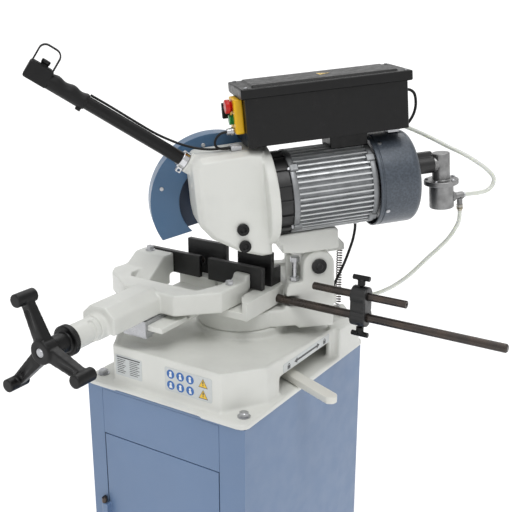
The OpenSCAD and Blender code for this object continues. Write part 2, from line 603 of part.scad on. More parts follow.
module motor_adapter() color([0.16, 0.16, 0.17]) head() difference() {
    rod_y(adapter_y, body_y, motor[0], motor[1], adapter_r);
    rod_y(adapter_y - 1, body_y + 1, motor[0], motor[1], 60);
}
motor_wall = 10;
module motor_body() color([0.72, 0.73, 0.74]) head() difference() {
    rod_y(body_y, fan_y, motor[0], motor[1], motor_d / 2);
    rod_y(body_y + motor_wall, fan_y - motor_wall, motor[0], motor[1], 64);
    rod_y(body_y - 1, fan_y + 1, motor[0], motor[1], 10 + fit);
}
module fan_cover() color([0.28, 0.3, 0.33]) head() difference() {
    union() {
        rod_y(fan_y, fan_y + fan_len - 12, motor[0], motor[1], fan_d / 2);
        translate([motor[0], fan_y + fan_len - 12, motor[1]]) rotate([-90, 0, 0])
            cylinder(h = 12, r1 = fan_d / 2, r2 = fan_d / 2 - 12);
    }
    rod_y(fan_y - 1, fan_y + fan_len - 14, motor[0], motor[1], fan_d / 2 - 3);
    for (a = [0 : 45 : 315]) translate([motor[0] + 46 * cos(a), 0, motor[1] + 46 * sin(a)])
        rod_y(fan_y + fan_len - 16, fan_y + fan_len + 1, 0, 0, 9);
}
module terminal_box() color([0.1, 0.1, 0.1]) head() difference() {
    slab([32, 98], [38, 118], [ebox_z - 43, ebox_z]);
    rod_y(30, 130, motor[0], motor[1], motor_d / 2 + play);
}
module box_bracket() color([0.1, 0.1, 0.1]) head() {
    slab([30, 66], [-132, -124], [275, ebox_z]);
    slab([36, 60], [-124, -112], [275.2, ebox_z]);
}
module electrics_box() color([0.06, 0.06, 0.06]) head() difference() {
    slab([ebox_x, ebox_x + ebox_w], [ebox_y, ebox_y + ebox_len],
        [ebox_z, ebox_z + ebox_h + lid_h - 3]);
    slab([ebox_x + 3, ebox_x + ebox_w - 3], [ebox_y + 3, ebox_y + ebox_len - 3],
        [ebox_z + 3, ebox_z + ebox_h + lid_h]);
    rod_y(ebox_y - 1, ebox_y + 4, knob[0], knob[1], 5 + fit);
    rod_y(ebox_y + ebox_len - 4, ebox_y + ebox_len + 1, 70, 352, 6);
}
module electrics_lid() color([0.07, 0.07, 0.07]) head() translate([ebox_x, ebox_y, ebox_z + ebox_h]) {
    difference() {
        slab([-8, ebox_w + 8], [-8, ebox_len + 8], [0, lid_h]);
        slab([-5, ebox_w + 5], [-5, ebox_len + 5], [-1, lid_h - 3]);
    }
    slab([8, ebox_w - 8], [18, ebox_len - 18], [lid_h, lid_h + 4]);
    slab([4, 16], [4, ebox_len - 4], [3, lid_h - 3]);
}
knob = [26, 346];
switch_x = [50, 104];
switch_z = [308, 378];
switch_y = ebox_y - 18;
buttons = [[78, 335], [78, 362]];
module switch_housing() color([0.95, 0.72, 0.08]) head() difference() {
    slab(switch_x, [switch_y, ebox_y], switch_z);
    for (b = buttons) rod_y(switch_y - 1, switch_y + 15, b[0], b[1], 10 + fit);
}
module push_button(b, r, out) head() {
    rod_y(switch_y - 2, switch_y + 11, b[0], b[1], 10);
    rod_y(switch_y - out, switch_y - 4, b[0], b[1], r);
    rod_y(switch_y - 4, switch_y - 2, b[0], b[1], 9);
}
module start_button() color([0.1, 0.55, 0.2]) push_button(buttons[0], 10, 8);
module stop_button() color([0.8, 0.1, 0.08]) push_button(buttons[1], 14, 14);
module selector_knob() color([0.05, 0.05, 0.05]) head() {
    rod_y(ebox_y - 3, ebox_y + 14, knob[0], knob[1], 5);
    rod_y(ebox_y - 14, ebox_y - 3, knob[0], knob[1], 17);
    slab([knob[0] - 5, knob[0] + 5], [ebox_y - 30, ebox_y - 13], [knob[1] - 16, knob[1] + 16]);
}
// The fittings that the coolant hoses are pushed on, kept in the same sub-part as the glands
module hose_fittings() {
    rod_y(pump[1] + 50, pump[1] + 54 - play, pump[0], barb_z, 6);
    rod_z(barb_z - 27 + 2 * play, barb_z - 22, pump[0], pump[1] + 42, 6.5);
    difference() {
        rod_y(-116, -104 - play, 18, 276, 5.5);
        side(gear_face - 1, gear_near) polygon(front_block);
    }
}

module cable_glands() color([0.7, 0.68, 0.62]) head() {
    hose_fittings();
    rod_y(ebox_y + ebox_len, 212, 70, 352, 8);
    rod_y(ebox_y + ebox_len + 1, ebox_y + ebox_len + 6, 70, 352, 10);
    rod_y(switch_y - 16, switch_y, 84, 313, 6.5);
    rod_y(switch_y - 7, switch_y - 2, 84, 313, 8);
    difference() {
        slab([58, 82], [168, 192], [268 + 2 * eps, 279]);
        rod_y(192 - eps, 193, 70, 273, cable_d / 2);
    }
    slab([70, 96], [-168, -146], [274.7, 284]);
    difference() {
        rod_z(74, 92, 50, 97, 8);
        rod_y(80, 115, motor[0], motor[1], motor_d / 2 + play);
    }
}

// ---- Blade guard, bolted to the gearbox ----
guard_cut = [[-220, -85], [-40, -53], [0, -45], [60, -36], [220, -36], [220, -220], [-220, -220]];
guard_bolts = [[-118, 223], [-189, 252]];
arbor_hole_r = 44;          // reaches the blade's flange screw
module blade_guard() color([0.26, 0.4, 0.54]) head() difference() {
    translate([0, arbor[0], arbor[1]]) {
        side(guard_near - 3, guard_near) difference() {
            circle(guard_r - 1);
            circle(guard_in);
        }
        side(guard_near - guard_w, guard_near - guard_w + 3) difference() {
            circle(guard_r - 1);
            circle(arbor_hole_r);
        }
        side(guard_near - guard_w, guard_near) difference() {
            circle(guard_r);
            circle(guard_r - 3);
        }
    }
    translate([0, arbor[0], arbor[1]]) side(-100, 100) polygon(guard_cut);
    // Clear of the motor flange
    slab([-100, 100], [adapter_y - 25, 200], [-100, motor[1] + 90]);
}

// ---- Feed handle ----
module handle() { head() translate([handle_x, handle_root[0], handle_root[1]]) rotate([90 - handle_up, 0, 0])
    children(); }
grip_len = 124;
grip_r = 18;
trigger_z = handle_len - 22;
trigger_low = 17;
trigger_travel = 3.5;
loop_up = 48;
loop_r = 27;
module handle_clamp() color([0.75, 0.75, 0.76]) handle() difference() {
    union() {
        rod_z(boss_up + play, boss_up + 14, 0, 0, handle_d / 2 + 5);
        slab([-8, 8], [-handle_d / 2 - 14, -handle_d / 2], [boss_up + play, boss_up + 12]);
    }
    rod_z(0, boss_up + 20, 0, 0, handle_d / 2 + fit);
    rod_x(-20, 20, -handle_d / 2 - 9, boss_up + 6, 2.6);
}
module handle_tube() color([0.09, 0.09, 0.09]) handle() difference() {
    rod_z(-28, handle_len - 30, 0, 0, handle_d / 2);
    rod_z(-29, handle_len - 33, 0, 0, handle_d / 2 - 2.5);
}
module handle_grip() color([0.09, 0.09, 0.09]) handle() difference() {
    union() {
        rod_z(handle_len - grip_len, handle_len - 20, 0, 0, grip_r);
        slab([-17, 17], [-17, 20], [handle_len - 50, handle_len]);
        translate([0, loop_up, trigger_z]) rotate([0, 90, 0]) translate([0, 0, -2.5]) difference() {
            cylinder(h = 5, r = loop_r);
            translate([0, 0, -1]) cylinder(h = 8, r = loop_r - 5);
        }
        slab([-2.5, 2.5], [18, 30], [trigger_z - 20, trigger_z - 14]);
        slab([-2.5, 2.5], [18, 30], [trigger_z + 14, trigger_z + 20]);
    }
    rod_z(handle_len - grip_len - 1, handle_len - 30 + play, 0, 0, handle_d / 2 + fit);
    slab([-4, 4], [20.5, 30], [trigger_z - 13.9, trigger_z + 13.9]);
    rod_y(trigger_low - trigger_travel - play, 40, 0, trigger_z, 8 + fit);
}
module trigger_button() color([0.06, 0.06, 0.06]) handle() {
    rod_y(trigger_low, 24, 0, trigger_z, 8);
    rod_y(24, 31, 0, trigger_z, 9);
}

// ---- Coolant pump and its fittings ----
module pump_bracket() color([0.13, 0.13, 0.14]) head() {
    slab([pump[0] - 24, pump[0] + 24], [fan_y + fan_len, fan_y + fan_len + 6], [148, 214]);
    rod_y(fan_y + fan_len + 5, pump[1] - 20, pump[0], 190, 19);
    slab([pump[0] - 6, pump[0] + 6], [fan_y + fan_len + 5, pump[1] - 22], [172, 218]);
}
module pump_body() color([0.5, 0.51, 0.53]) head() {
    rod_z(pump[2], pump[2] + 58, pump[0], pump[1], 19);
    rod_z(pump[2] - 10, pump[2], pump[0], pump[1], 37);
    rod_z(pump[2] - 62, pump[2] - 10, pump[0], pump[1], 26);
    rod_y(pump[1] + 20, pump[1] + 30, pump[0], barb_z, 11);
    rod_z(barb_z - 22, barb_z, pump[0], pump[1] + 42, 6);
    rod_y(pump[1] + 24, pump[1] + 50, pump[0], barb_z, 8);
    rod_y(pump[1] - 20, pump[1] - 10, pump[0], 190, 16);
}
// ---- Hoses and cables ----
module coolant_feed_hose() color([0.86, 0.87, 0.85]) head() tube(feed_route, hose_d, 4, 10);
module coolant_suction_hose() color([0.86, 0.87, 0.85]) turn() tube(lifted(suction_route), hose_d, 4, 10);
module handle_cable() color([0.05, 0.05, 0.05]) head() tube(handle_cable_route, cable_d - 1, 4, 8);
module motor_cable() color([0.05, 0.05, 0.05]) head() tube(motor_cable_route, cable_d, 5, 8);
module panel_cable() color([0.05, 0.05, 0.05]) head() tube(panel_cable_route, cable_d - 1, 5, 8);
module supply_cable() color([0.05, 0.05, 0.05]) turn() tube(lifted(supply_route), cable_d, 4, 8);

cabinet_shell();
cabinet_fascia();
door_hinge_pins();
cabinet_door();
door_latch();
coolant_tank();
base_casting();
base_bolts();
info_plates();
table_bed();
rear_jaw_left();
rear_jaw_right();
stop_rod();
stop_block();
stop_bar();
stop_knob_upper();
stop_knob_lower();
lock_lever();
turntable_yoke();
pivot_pin();
yoke_bolts();
return_spring();
vise_cross_slide();
vise_fork();
front_jaw_left();
front_jaw_right();
jaw_bolts();
screw_sleeve();
vise_screw();
handwheel();
gearbox_housing();
oil_plugs();
spindle();
worm_shaft();
motor_rotor();
motor_adapter();
motor_body();
fan_cover();
terminal_box();
electrics_box();
electrics_lid();
box_bracket();
switch_housing();
start_button();
stop_button();
selector_knob();
cable_glands();
blade_guard();
handle_clamp();
handle_tube();
handle_grip();
trigger_button();
pump_bracket();
pump_body();
coolant_feed_hose();
coolant_suction_hose();
motor_cable();
supply_cable();
panel_cable();
handle_cable();
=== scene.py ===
import json
import math

import bmesh
import bpy
from mathutils import Matrix, Vector


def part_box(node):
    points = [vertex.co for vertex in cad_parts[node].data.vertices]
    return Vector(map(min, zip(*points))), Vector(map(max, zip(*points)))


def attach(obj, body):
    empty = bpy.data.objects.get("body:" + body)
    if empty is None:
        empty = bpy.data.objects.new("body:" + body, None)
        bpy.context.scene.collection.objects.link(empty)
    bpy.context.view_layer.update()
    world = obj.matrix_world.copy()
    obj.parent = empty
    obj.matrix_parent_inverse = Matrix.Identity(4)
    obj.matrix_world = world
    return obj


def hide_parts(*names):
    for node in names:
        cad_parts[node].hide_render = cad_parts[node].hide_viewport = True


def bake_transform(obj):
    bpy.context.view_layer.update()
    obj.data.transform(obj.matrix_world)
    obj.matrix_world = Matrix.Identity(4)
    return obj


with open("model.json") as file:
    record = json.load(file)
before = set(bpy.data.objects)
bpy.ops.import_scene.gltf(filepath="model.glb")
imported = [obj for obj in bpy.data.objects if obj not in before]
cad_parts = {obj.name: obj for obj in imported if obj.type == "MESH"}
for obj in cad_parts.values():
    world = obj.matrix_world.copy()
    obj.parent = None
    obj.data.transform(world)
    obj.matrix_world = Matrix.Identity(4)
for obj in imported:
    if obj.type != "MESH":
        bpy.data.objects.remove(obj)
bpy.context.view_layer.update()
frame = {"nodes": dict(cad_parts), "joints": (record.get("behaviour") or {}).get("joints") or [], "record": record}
nodes = frame["nodes"]
mm = 0.001
print("frame loaded:", len(nodes), "nodes")

# Places: each is a matrix from a local frame (sideways, along, up) to the room
joints = {joint["name"]: joint for joint in frame["joints"]}


def axisFrame(origin, sideways, along):
    x, y = Vector(sideways).normalized(), Vector(along).normalized()
    matrix = Matrix((x, y, x.cross(y))).transposed().to_4x4()
    matrix.translation = Vector(origin)
    return matrix


def jointPlace(name):
    return Vector(joints[name]["pos_m"])


sideways = Vector(joints["head_pivot"]["axis"])
rearwards = Vector(joints["motor_spin"]["axis"])
up = Vector((0, 0, 1))
room = Matrix.Identity(4)
swivelAt = jointPlace("swivel")
turntable = axisFrame((swivelAt.x, swivelAt.y, 0), sideways, up.cross(sideways))
head = axisFrame(jointPlace("head_pivot"), sideways, rearwards)
motorAxis = axisFrame(jointPlace("motor_spin"), sideways, rearwards)


def span(name, place=room):
    inverse = place.inverted()
    points = [inverse @ v.co for v in nodes[name].data.vertices]
    return (Vector([min(p[i] for p in points) for i in range(3)]),
            Vector([max(p[i] for p in points) for i in range(3)]))


def middle(name, place=room):
    low, high = span(name, place)
    return (low + high) / 2


handleUp = -Vector(joints["trigger_press"]["axis"])
handleTurn = axisFrame((0, 0, 0), sideways, handleUp)
tubeLow, tubeHigh = span("handle_tube", handleTurn)
handle = axisFrame(handleTurn @ Vector(((tubeLow.x + tubeHigh.x) / 2, (tubeLow.y + tubeHigh.y) / 2, tubeLow.z)),
                   sideways, handleUp)


# Materials: every one is worked out from Object coordinates
def rgb(red, green, blue):
    return tuple(c / 12.92 if c <= 0.04045 else ((c + 0.055) / 1.055) ** 2.4
                 for c in (red / 255, green / 255, blue / 255)) + (1,)


class Finish:
    def __init__(self, name, color, roughness=0.5, metal=0.0):
        self.material = bpy.data.materials.new(name)
        self.material.use_nodes = True
        self.tree = self.material.node_tree
        self.shader = self.tree.nodes["Principled BSDF"]
        self.color = color
        self.shader.inputs["Base Color"].default_value = color
        self.shader.inputs["Roughness"].default_value = roughness
        self.shader.inputs["Metallic"].default_value = metal
        self.place = self.node("ShaderNodeTexCoord").outputs["Object"]
        self.normal = None

    def node(self, kind, **inputs):
        node = self.tree.nodes.new(kind)
        for name, value in inputs.items():
            node.inputs[name.replace("_", " ")].default_value = value
        return node

    def link(self, output, target):
        self.tree.links.new(output, target)

    def stretched(self, scale):
        mapping = self.node("ShaderNodeMapping")
        mapping.inputs["Scale"].default_value = scale
        self.link(self.place, mapping.inputs["Vector"])
        return mapping.outputs["Vector"]

    def noise(self, scale, detail=3.0, rough=0.55, place=None):
        noise = self.node("ShaderNodeTexNoise", Scale=scale, Detail=detail, Roughness=rough)
        self.link(place or self.place, noise.inputs["Vector"])
        return noise.outputs["Fac"]

    def cells(self, scale):
        cells = self.node("ShaderNodeTexVoronoi", Scale=scale)
        cells.feature = "SMOOTH_F1"
        self.link(self.place, cells.inputs["Vector"])
        return cells.outputs["Distance"]

    def ramp(self, value, stops):
        ramp = self.node("ShaderNodeValToRGB")
        elements = ramp.color_ramp.elements
        while len(elements) < len(stops):
            elements.new(0.5)
        for element, (position, color) in zip(elements, stops):
            element.position, element.color = position, color
        self.link(value, ramp.inputs["Fac"])
        return ramp.outputs["Color"]

    def mottle(self, value, other, low=0.35, high=0.7):
        self.link(self.ramp(value, [(low, self.color), (high, other)]), self.shader.inputs["Base Color"])
        return self

    def gloss(self, value, low, high):
        grey = self.node("ShaderNodeMapRange", From_Min=0.3, From_Max=0.7, To_Min=low, To_Max=high)
        self.link(value, grey.inputs["Value"])
        self.link(grey.outputs["Result"], self.shader.inputs["Roughness"])
        return self

    def bump(self, value, strength, depth):
        bump = self.node("ShaderNodeBump", Strength=strength, Distance=depth)
        self.link(value, bump.inputs["Height"])
        if self.normal:
            self.link(self.normal, bump.inputs["Normal"])
        self.normal = bump.outputs["Normal"]
        self.link(self.normal, self.shader.inputs["Normal"])
        return self

    def set(self, **values):
        for name, value in values.items():
            self.shader.inputs[name.replace("_", " ")].default_value = value
        return self


def shade(color, factor):
    return tuple(min(1, c * factor) for c in color[:3]) + (1,)


def castPaint(name, color, roughness=0.42):
    finish = Finish(name, color, roughness)
    broad = finish.noise(9, 4)
    finish.mottle(broad, shade(color, 0.9), 0.42, 0.78)
    finish.gloss(finish.noise(55, 3), roughness - 0.08, roughness + 0.14)
    finish.bump(finish.noise(420, 4, 0.6), 0.25, 0.0004)
    finish.bump(finish.noise(38, 3), 0.28, 0.0012)
    return finish.set(Coat_Weight=0.18, Coat_Roughness=0.25).material


def powderCoat(name, color, roughness=0.42):
    finish = Finish(name, color, roughness)
    finish.mottle(finish.noise(3.5, 3), shade(color, 0.92), 0.4, 0.75)
    finish.gloss(finish.noise(26, 2), roughness - 0.05, roughness + 0.1)
    finish.bump(finish.cells(900), 0.12, 0.0002)
    finish.bump(finish.noise(12, 2), 0.06, 0.001)
    return finish.set(Coat_Weight=0.2, Coat_Roughness=0.3).material


def hammered(name, color):
    finish = Finish(name, color, 0.38, 0.25)
    finish.mottle(finish.cells(260), shade(color, 1.5), 0.25, 0.75)
    finish.bump(finish.cells(260), 0.35, 0.0006)
    return finish.set(Coat_Weight=0.25, Coat_Roughness=0.2).material


def moulded(name, color, roughness=0.45, grain=1600):
    finish = Finish(name, color, roughness)
    finish.mottle(finish.noise(24, 3), shade(color, 1.25), 0.45, 0.85)
    finish.gloss(finish.noise(70, 3), roughness - 0.07, roughness + 0.12)
    finish.bump(finish.cells(grain), 0.18, 0.00015)
    return finish.set(Specular_IOR_Level=0.3).material


def metal(name, color, roughness=0.3, streak=(40, 40, 900), darker=0.75):
    finish = Finish(name, color, roughness, 1.0)
    brushed = finish.noise(1.0, 4, 0.6, finish.stretched(streak))
    finish.mottle(finish.noise(30, 4), shade(color, darker), 0.35, 0.8)
    finish.gloss(brushed, roughness - 0.1, roughness + 0.15)
    finish.bump(brushed, 0.08, 0.0002)
    return finish.material


def blackOxide(name):
    finish = Finish(name, rgb(70, 66, 64), 0.32, 0.85)
    finish.mottle(finish.noise(22, 4), rgb(94, 82, 74), 0.4, 0.85)
    finish.gloss(finish.noise(90, 3), 0.22, 0.42)
    finish.bump(finish.noise(1.0, 3, 0.5, finish.stretched((900, 60, 60))), 0.06, 0.0002)
    return finish.material


def clearHose(name):
    finish = Finish(name, rgb(226, 229, 222), 0.22)
    finish.mottle(finish.noise(16, 2), rgb(205, 209, 198), 0.4, 0.8)
    finish.bump(finish.noise(60, 2), 0.05, 0.0005)
    return finish.set(Subsurface_Weight=0.35, Subsurface_Scale=0.006, Coat_Weight=0.4, Coat_Roughness=0.12,
                      Subsurface_Radius=(1, 1, 0.8)).material


def printed(name, color, roughness=0.4):
    finish = Finish(name, color, roughness)
    finish.mottle(finish.noise(140, 2), shade(color, 0.93), 0.4, 0.8)
    return finish.set(Coat_Weight=0.3, Coat_Roughness=0.15).material


offWhite, cabinetColor, guardColor = rgb(222, 223, 218), rgb(106, 131, 166), rgb(62, 100, 136)
materials = {
    "casting": castPaint("cast iron, off-white paint", offWhite),
    "lever": castPaint("lever, off-white paint", rgb(224, 223, 215), 0.36),
    "cabinet": powderCoat("sheet steel, blue powder coat", cabinetColor),
    "guard": powderCoat("guard, blue paint", guardColor, 0.34),
    # painted shade: a darker blue that stands in for the shade inside the guard
    "guardPaintedShade": powderCoat("guard inside, painted shade blue", rgb(30, 52, 82), 0.5),
    "black_iron": castPaint("black cast iron", rgb(17, 17, 18), 0.42),
    "dark_steel": blackOxide("black oxide steel"),
    "steel": metal("zinc plated steel", rgb(186, 187, 190), 0.3),
    "chrome": metal("chromed clamp", rgb(214, 215, 218), 0.14),
    "brass": metal("nickel plated fittings", rgb(176, 170, 156), 0.28),
    "aluminium": metal("extruded aluminium", rgb(206, 208, 209), 0.5, (60, 60, 60), 0.86),
    "fan_grey": hammered("fan cover, hammered grey", rgb(66, 73, 82)),
    "pump_grey": metal("pump, bare die casting", rgb(150, 150, 150), 0.42, (60, 60, 60), 0.6),
    "bellGrey": metal("motor end bells, cast aluminium", rgb(150, 152, 154), 0.5, (80, 80, 80), 0.7),
    "black_plastic": moulded("black plastic", rgb(9, 9, 10), 0.34),
    "softBlack": moulded("black grip", rgb(11, 11, 12), 0.48, 900),
    "yellow_plastic": moulded("yellow switch housing", rgb(238, 186, 30), 0.34),
    "red_plastic": moulded("red button", rgb(196, 30, 24), 0.3),
    "green_plastic": moulded("green button", rgb(36, 128, 60), 0.3),
    "hose": clearHose("translucent hose"),
    "cable": moulded("black cable", rgb(14, 14, 15), 0.5, 700),
    "plate": printed("printed film, pale grey", rgb(204, 208, 208)),
    "inkBlue": printed("ink, blue", rgb(28, 100, 176)),
    "inkYellow": printed("ink, yellow", rgb(240, 196, 36)),
    "inkDark": printed("ink, dark grey", rgb(52, 54, 56)),
    "inkWhite": printed("ink, white", rgb(238, 240, 240)),
}
print("materials made:", len(materials))


# Mesh helpers
openSheets = {"cabinet_shell", "cabinet_door", "coolant_tank", "electrics_box", "blade_guard", "table_bed",
              "vise_cross_slide", "box_bracket", "handle_clamp"}


def newPiece(name, bm, place=room, sharpAngle=38):
    bm.normal_update()
    mesh = bpy.data.meshes.new(name)
    bm.to_mesh(mesh)
    bm.free()
    mesh.transform(place)
    mesh.shade_smooth()
    mesh.set_sharp_from_angle(angle=math.radians(sharpAngle))
    piece = bpy.data.objects.new(name, mesh)
    bpy.context.scene.collection.objects.link(piece)
    return piece


def applyModifiers(piece):
    evaluated = piece.evaluated_get(bpy.context.evaluated_depsgraph_get())
    mesh = bpy.data.meshes.new_from_object(evaluated)
    piece.modifiers.clear()
    piece.data = mesh
    return piece


def rounded(piece, width, segments=2, angle=38):
    bevel = piece.modifiers.new("rounded edges", "BEVEL")
    bevel.width = width
    bevel.segments = segments
    bevel.limit_method = "ANGLE"
    bevel.angle_limit = math.radians(angle)
    bevel.use_clamp_overlap = False
    bevel.miter_outer = "MITER_ARC"
    even = piece.modifiers.new("even normals", "WEIGHTED_NORMAL")
    even.keep_sharp = True
    applyModifiers(piece)
    return piece


def finishPiece(piece, body, slot, material=None, cad=()):
    chosen = materials[material or slot]
    if not piece.data.materials:
        piece.data.materials.append(chosen)
    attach(piece, body)
    if cad:
        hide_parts(*cad)
    return piece


def softened(nodeName, name, width, segments=2, angle=38):
    # A rounded copy of a CAD node's own mesh; a sheet with openings keeps its triangles
    bm = bmesh.new()
    bm.from_mesh(nodes[nodeName].data)
    bmesh.ops.remove_doubles(bm, verts=bm.verts, dist=1e-6)
    if nodeName not in openSheets:
        bmesh.ops.dissolve_limit(bm, angle_limit=math.radians(0.5), verts=bm.verts, edges=bm.edges)
    return rounded(newPiece(name, bm), width, segments, angle)


def castCopy(nodeName, name, cell, place=room, passes=6):
    # A copy of a CAD node with the soft edges and fillets of a sand casting
    bm = bmesh.new()
    bm.from_mesh(nodes[nodeName].data)
    bmesh.ops.remove_doubles(bm, verts=bm.verts, dist=1e-6)
    piece = newPiece(name, bm, place.inverted())
    remesh = piece.modifiers.new("even skin", "REMESH")
    remesh.mode = "VOXEL"
    remesh.voxel_size = cell
    soft = piece.modifiers.new("soft edges", "SMOOTH")
    soft.iterations = passes
    applyModifiers(piece)
    piece.data.transform(place)
    piece.data.shade_smooth()
    return piece


def closed(bm):
    bmesh.ops.remove_doubles(bm, verts=bm.verts, dist=1e-7)
    bmesh.ops.recalc_face_normals(bm, faces=bm.faces)
    return bm


def skinned(bm, rings):
    # Faces between rings of vertices that follow each other
    for a, b in zip(rings, rings[1:]):
        for i in range(len(a)):
            j = (i + 1) % len(a)
            bm.faces.new((a[i], a[j], b[j], b[i]))
    return bm


def lathe(profile, sides=48, loop=False):
    # profile: (radius, along) pairs turned about the local y axis; a loop has a hole through it
    bm = bmesh.new()
    turns = [2 * math.pi * i / sides for i in range(sides)]
    rings = [[bm.verts.new((radius * math.cos(a), along, radius * math.sin(a))) for a in turns]
             for radius, along in profile]
    skinned(bm, rings + (rings[:1] if loop else []))
    for ring in () if loop else (rings[0], rings[-1]):
        bm.faces.new(ring)
    return closed(bm)


def block(bm, low, high):
    center = [(a + b) / 2 for a, b in zip(low, high)]
    size = [b - a for a, b in zip(low, high)]
    matrix = Matrix.Translation(center) @ Matrix.Diagonal((*size, 1))
    bmesh.ops.create_cube(bm, size=1, matrix=matrix)
    return bm


def slabOutline(bm, outline, thickness, place=room):
    # A flat outline in x and z, given its thickness towards -y
    front = [bm.verts.new(place @ Vector((x, -thickness, z))) for x, z in outline]
    back = [bm.verts.new(place @ Vector((x, 0, z))) for x, z in outline]
    bm.faces.new(front)
    bm.faces.new(back[::-1])
    for i in range(len(outline)):
        j = (i + 1) % len(outline)
        bm.faces.new((front[i], back[i], back[j], front[j]))
    return bm


def arc(x, z, radius, start=0, end=360, steps=24):
    return [(x + radius * math.cos(math.radians(start + (end - start) * i / steps)),
             z + radius * math.sin(math.radians(start + (end - start) * i / steps)))
            for i in range(steps + (0 if end - start == 360 else 1))]


def roundedOutline(x0, x1, z0, z1, radius):
    middles = ((x1 - radius, z1 - radius), (x0 + radius, z1 - radius), (x0 + radius, z0 + radius),
               (x1 - radius, z0 + radius))
    return [p for k, (x, z) in enumerate(middles) for p in arc(x, z, radius, 90 * k, 90 * (k + 1), 6)]


# Camera and light
view = {"place": (1.0301, -1.5038, 1.6318), "down": 17.77, "turn": 32.64, "lens": 62.33}
camera = bpy.data.objects.new("camera", bpy.data.cameras.new("camera"))
camera.data.lens = view["lens"]
camera.data.sensor_width = 36
camera.location = view["place"]
camera.rotation_euler = (math.radians(90 - view["down"]), 0, math.radians(view["turn"]))
bpy.context.scene.collection.objects.link(camera)
bpy.context.scene.camera = camera

lights = {
    # direction to the lamp, angle of its disc in degrees, strength
    "key": {"towards": (0.5, -0.55, 1.3), "spread": 30, "strength": 1.15},
    "fill": {"towards": (-0.9, -0.7, 0.8), "spread": 60, "strength": 0.2},
    "back": {"towards": (-0.25, 0.9, 1.0), "spread": 40, "strength": 0.5},
    "overhead": {"towards": (0.0, 0.0, 1.0), "spread": 50, "strength": 0.45},
}
for name, light in lights.items():
    lamp = bpy.data.objects.new(name, bpy.data.lights.new(name, "SUN"))
    lamp.data.angle = math.radians(light["spread"])
    lamp.data.energy = light["strength"]
    lamp.rotation_euler = (-Vector(light["towards"])).to_track_quat("-Z", "Y").to_euler()
    bpy.context.scene.collection.objects.link(lamp)
world = bpy.data.worlds.new("studio")
world.use_nodes = True
backdrop = world.node_tree.nodes["Background"]
backdrop.inputs["Color"].default_value = (1, 1, 1, 1)
# Plain white behind the object, bright in reflections, dimmer as a source of light
studio = {"light": 0.34, "seen": 1.0, "reflected": 0.62}
rays = world.node_tree.nodes.new("ShaderNodeLightPath")
glossy = world.node_tree.nodes.new("ShaderNodeMath")
glossy.operation = "MULTIPLY"
glossy.inputs[1].default_value = studio["reflected"]
brighter = world.node_tree.nodes.new("ShaderNodeMath")
brighter.operation = "MAXIMUM"
strength = world.node_tree.nodes.new("ShaderNodeMapRange")
strength.inputs["To Min"].default_value = studio["light"]
strength.inputs["To Max"].default_value = studio["seen"]
for output, target in ((rays.outputs["Is Glossy Ray"], glossy.inputs[0]), (glossy.outputs[0], brighter.inputs[0]),
                       (rays.outputs["Is Camera Ray"], brighter.inputs[1]),
                       (brighter.outputs[0], strength.inputs["Value"]),
                       (strength.outputs["Result"], backdrop.inputs["Strength"])):
    world.node_tree.links.new(output, target)
bpy.context.scene.world = world
bpy.context.scene.view_settings.view_transform = "Standard"

bm = bmesh.new()
bmesh.ops.create_circle(bm, cap_ends=True, radius=90, segments=48)
floor = newPiece("floor", bm)
paleFloor = Finish("pale floor", (0.9, 0.9, 0.9, 1), 0.9)
paleFloor.set(Emission_Color=(1, 1, 1, 1), Emission_Strength=0.32, Specular_IOR_Level=0.0)
floor.data.materials.append(paleFloor.material)
print("camera, light and floor set")


# Hoses and cables: the routes are the ones that the CAD part follows, in millimetres
def curvePoints(route, steps):
    # The same rounding of the route as the CAD tube has
    points = [Vector(p) for p in route]
    last = len(points) - 1
    result = []
    for i in range(last):
        a, b, c, d = points[max(i - 1, 0)], points[i], points[i + 1], points[min(i + 2, last)]
        for k in range(steps):
            t = k / steps
            result.append(0.5 * ((2 * b) + (c - a) * t + (2 * a - 5 * b + 4 * c - d) * t * t
                                 + (3 * b - a - 3 * c + d) * t ** 3))
    return result + [points[last]]


def sweep(bm, points, radius, sides):
    # Rings carried along the line without twisting, closed at both ends
    tangents = [(points[min(i + 1, len(points) - 1)] - points[max(i - 1, 0)]).normalized()
                for i in range(len(points))]
    normal = tangents[0].orthogonal().normalized()
    rings = []
    for i, (point, tangent) in enumerate(zip(points, tangents)):
        normal = (normal - tangent * normal.dot(tangent)).normalized()
        other = tangent.cross(normal)
        size = radius(i / (len(points) - 1)) if callable(radius) else radius
        rings.append([bm.verts.new(point + size * (normal * math.cos(2 * math.pi * k / sides)
                                                   + other * math.sin(2 * math.pi * k / sides)))
                      for k in range(sides)])
    skinned(bm, rings)
    bm.faces.new(rings[0][::-1])
    bm.faces.new(rings[-1])
    return bm


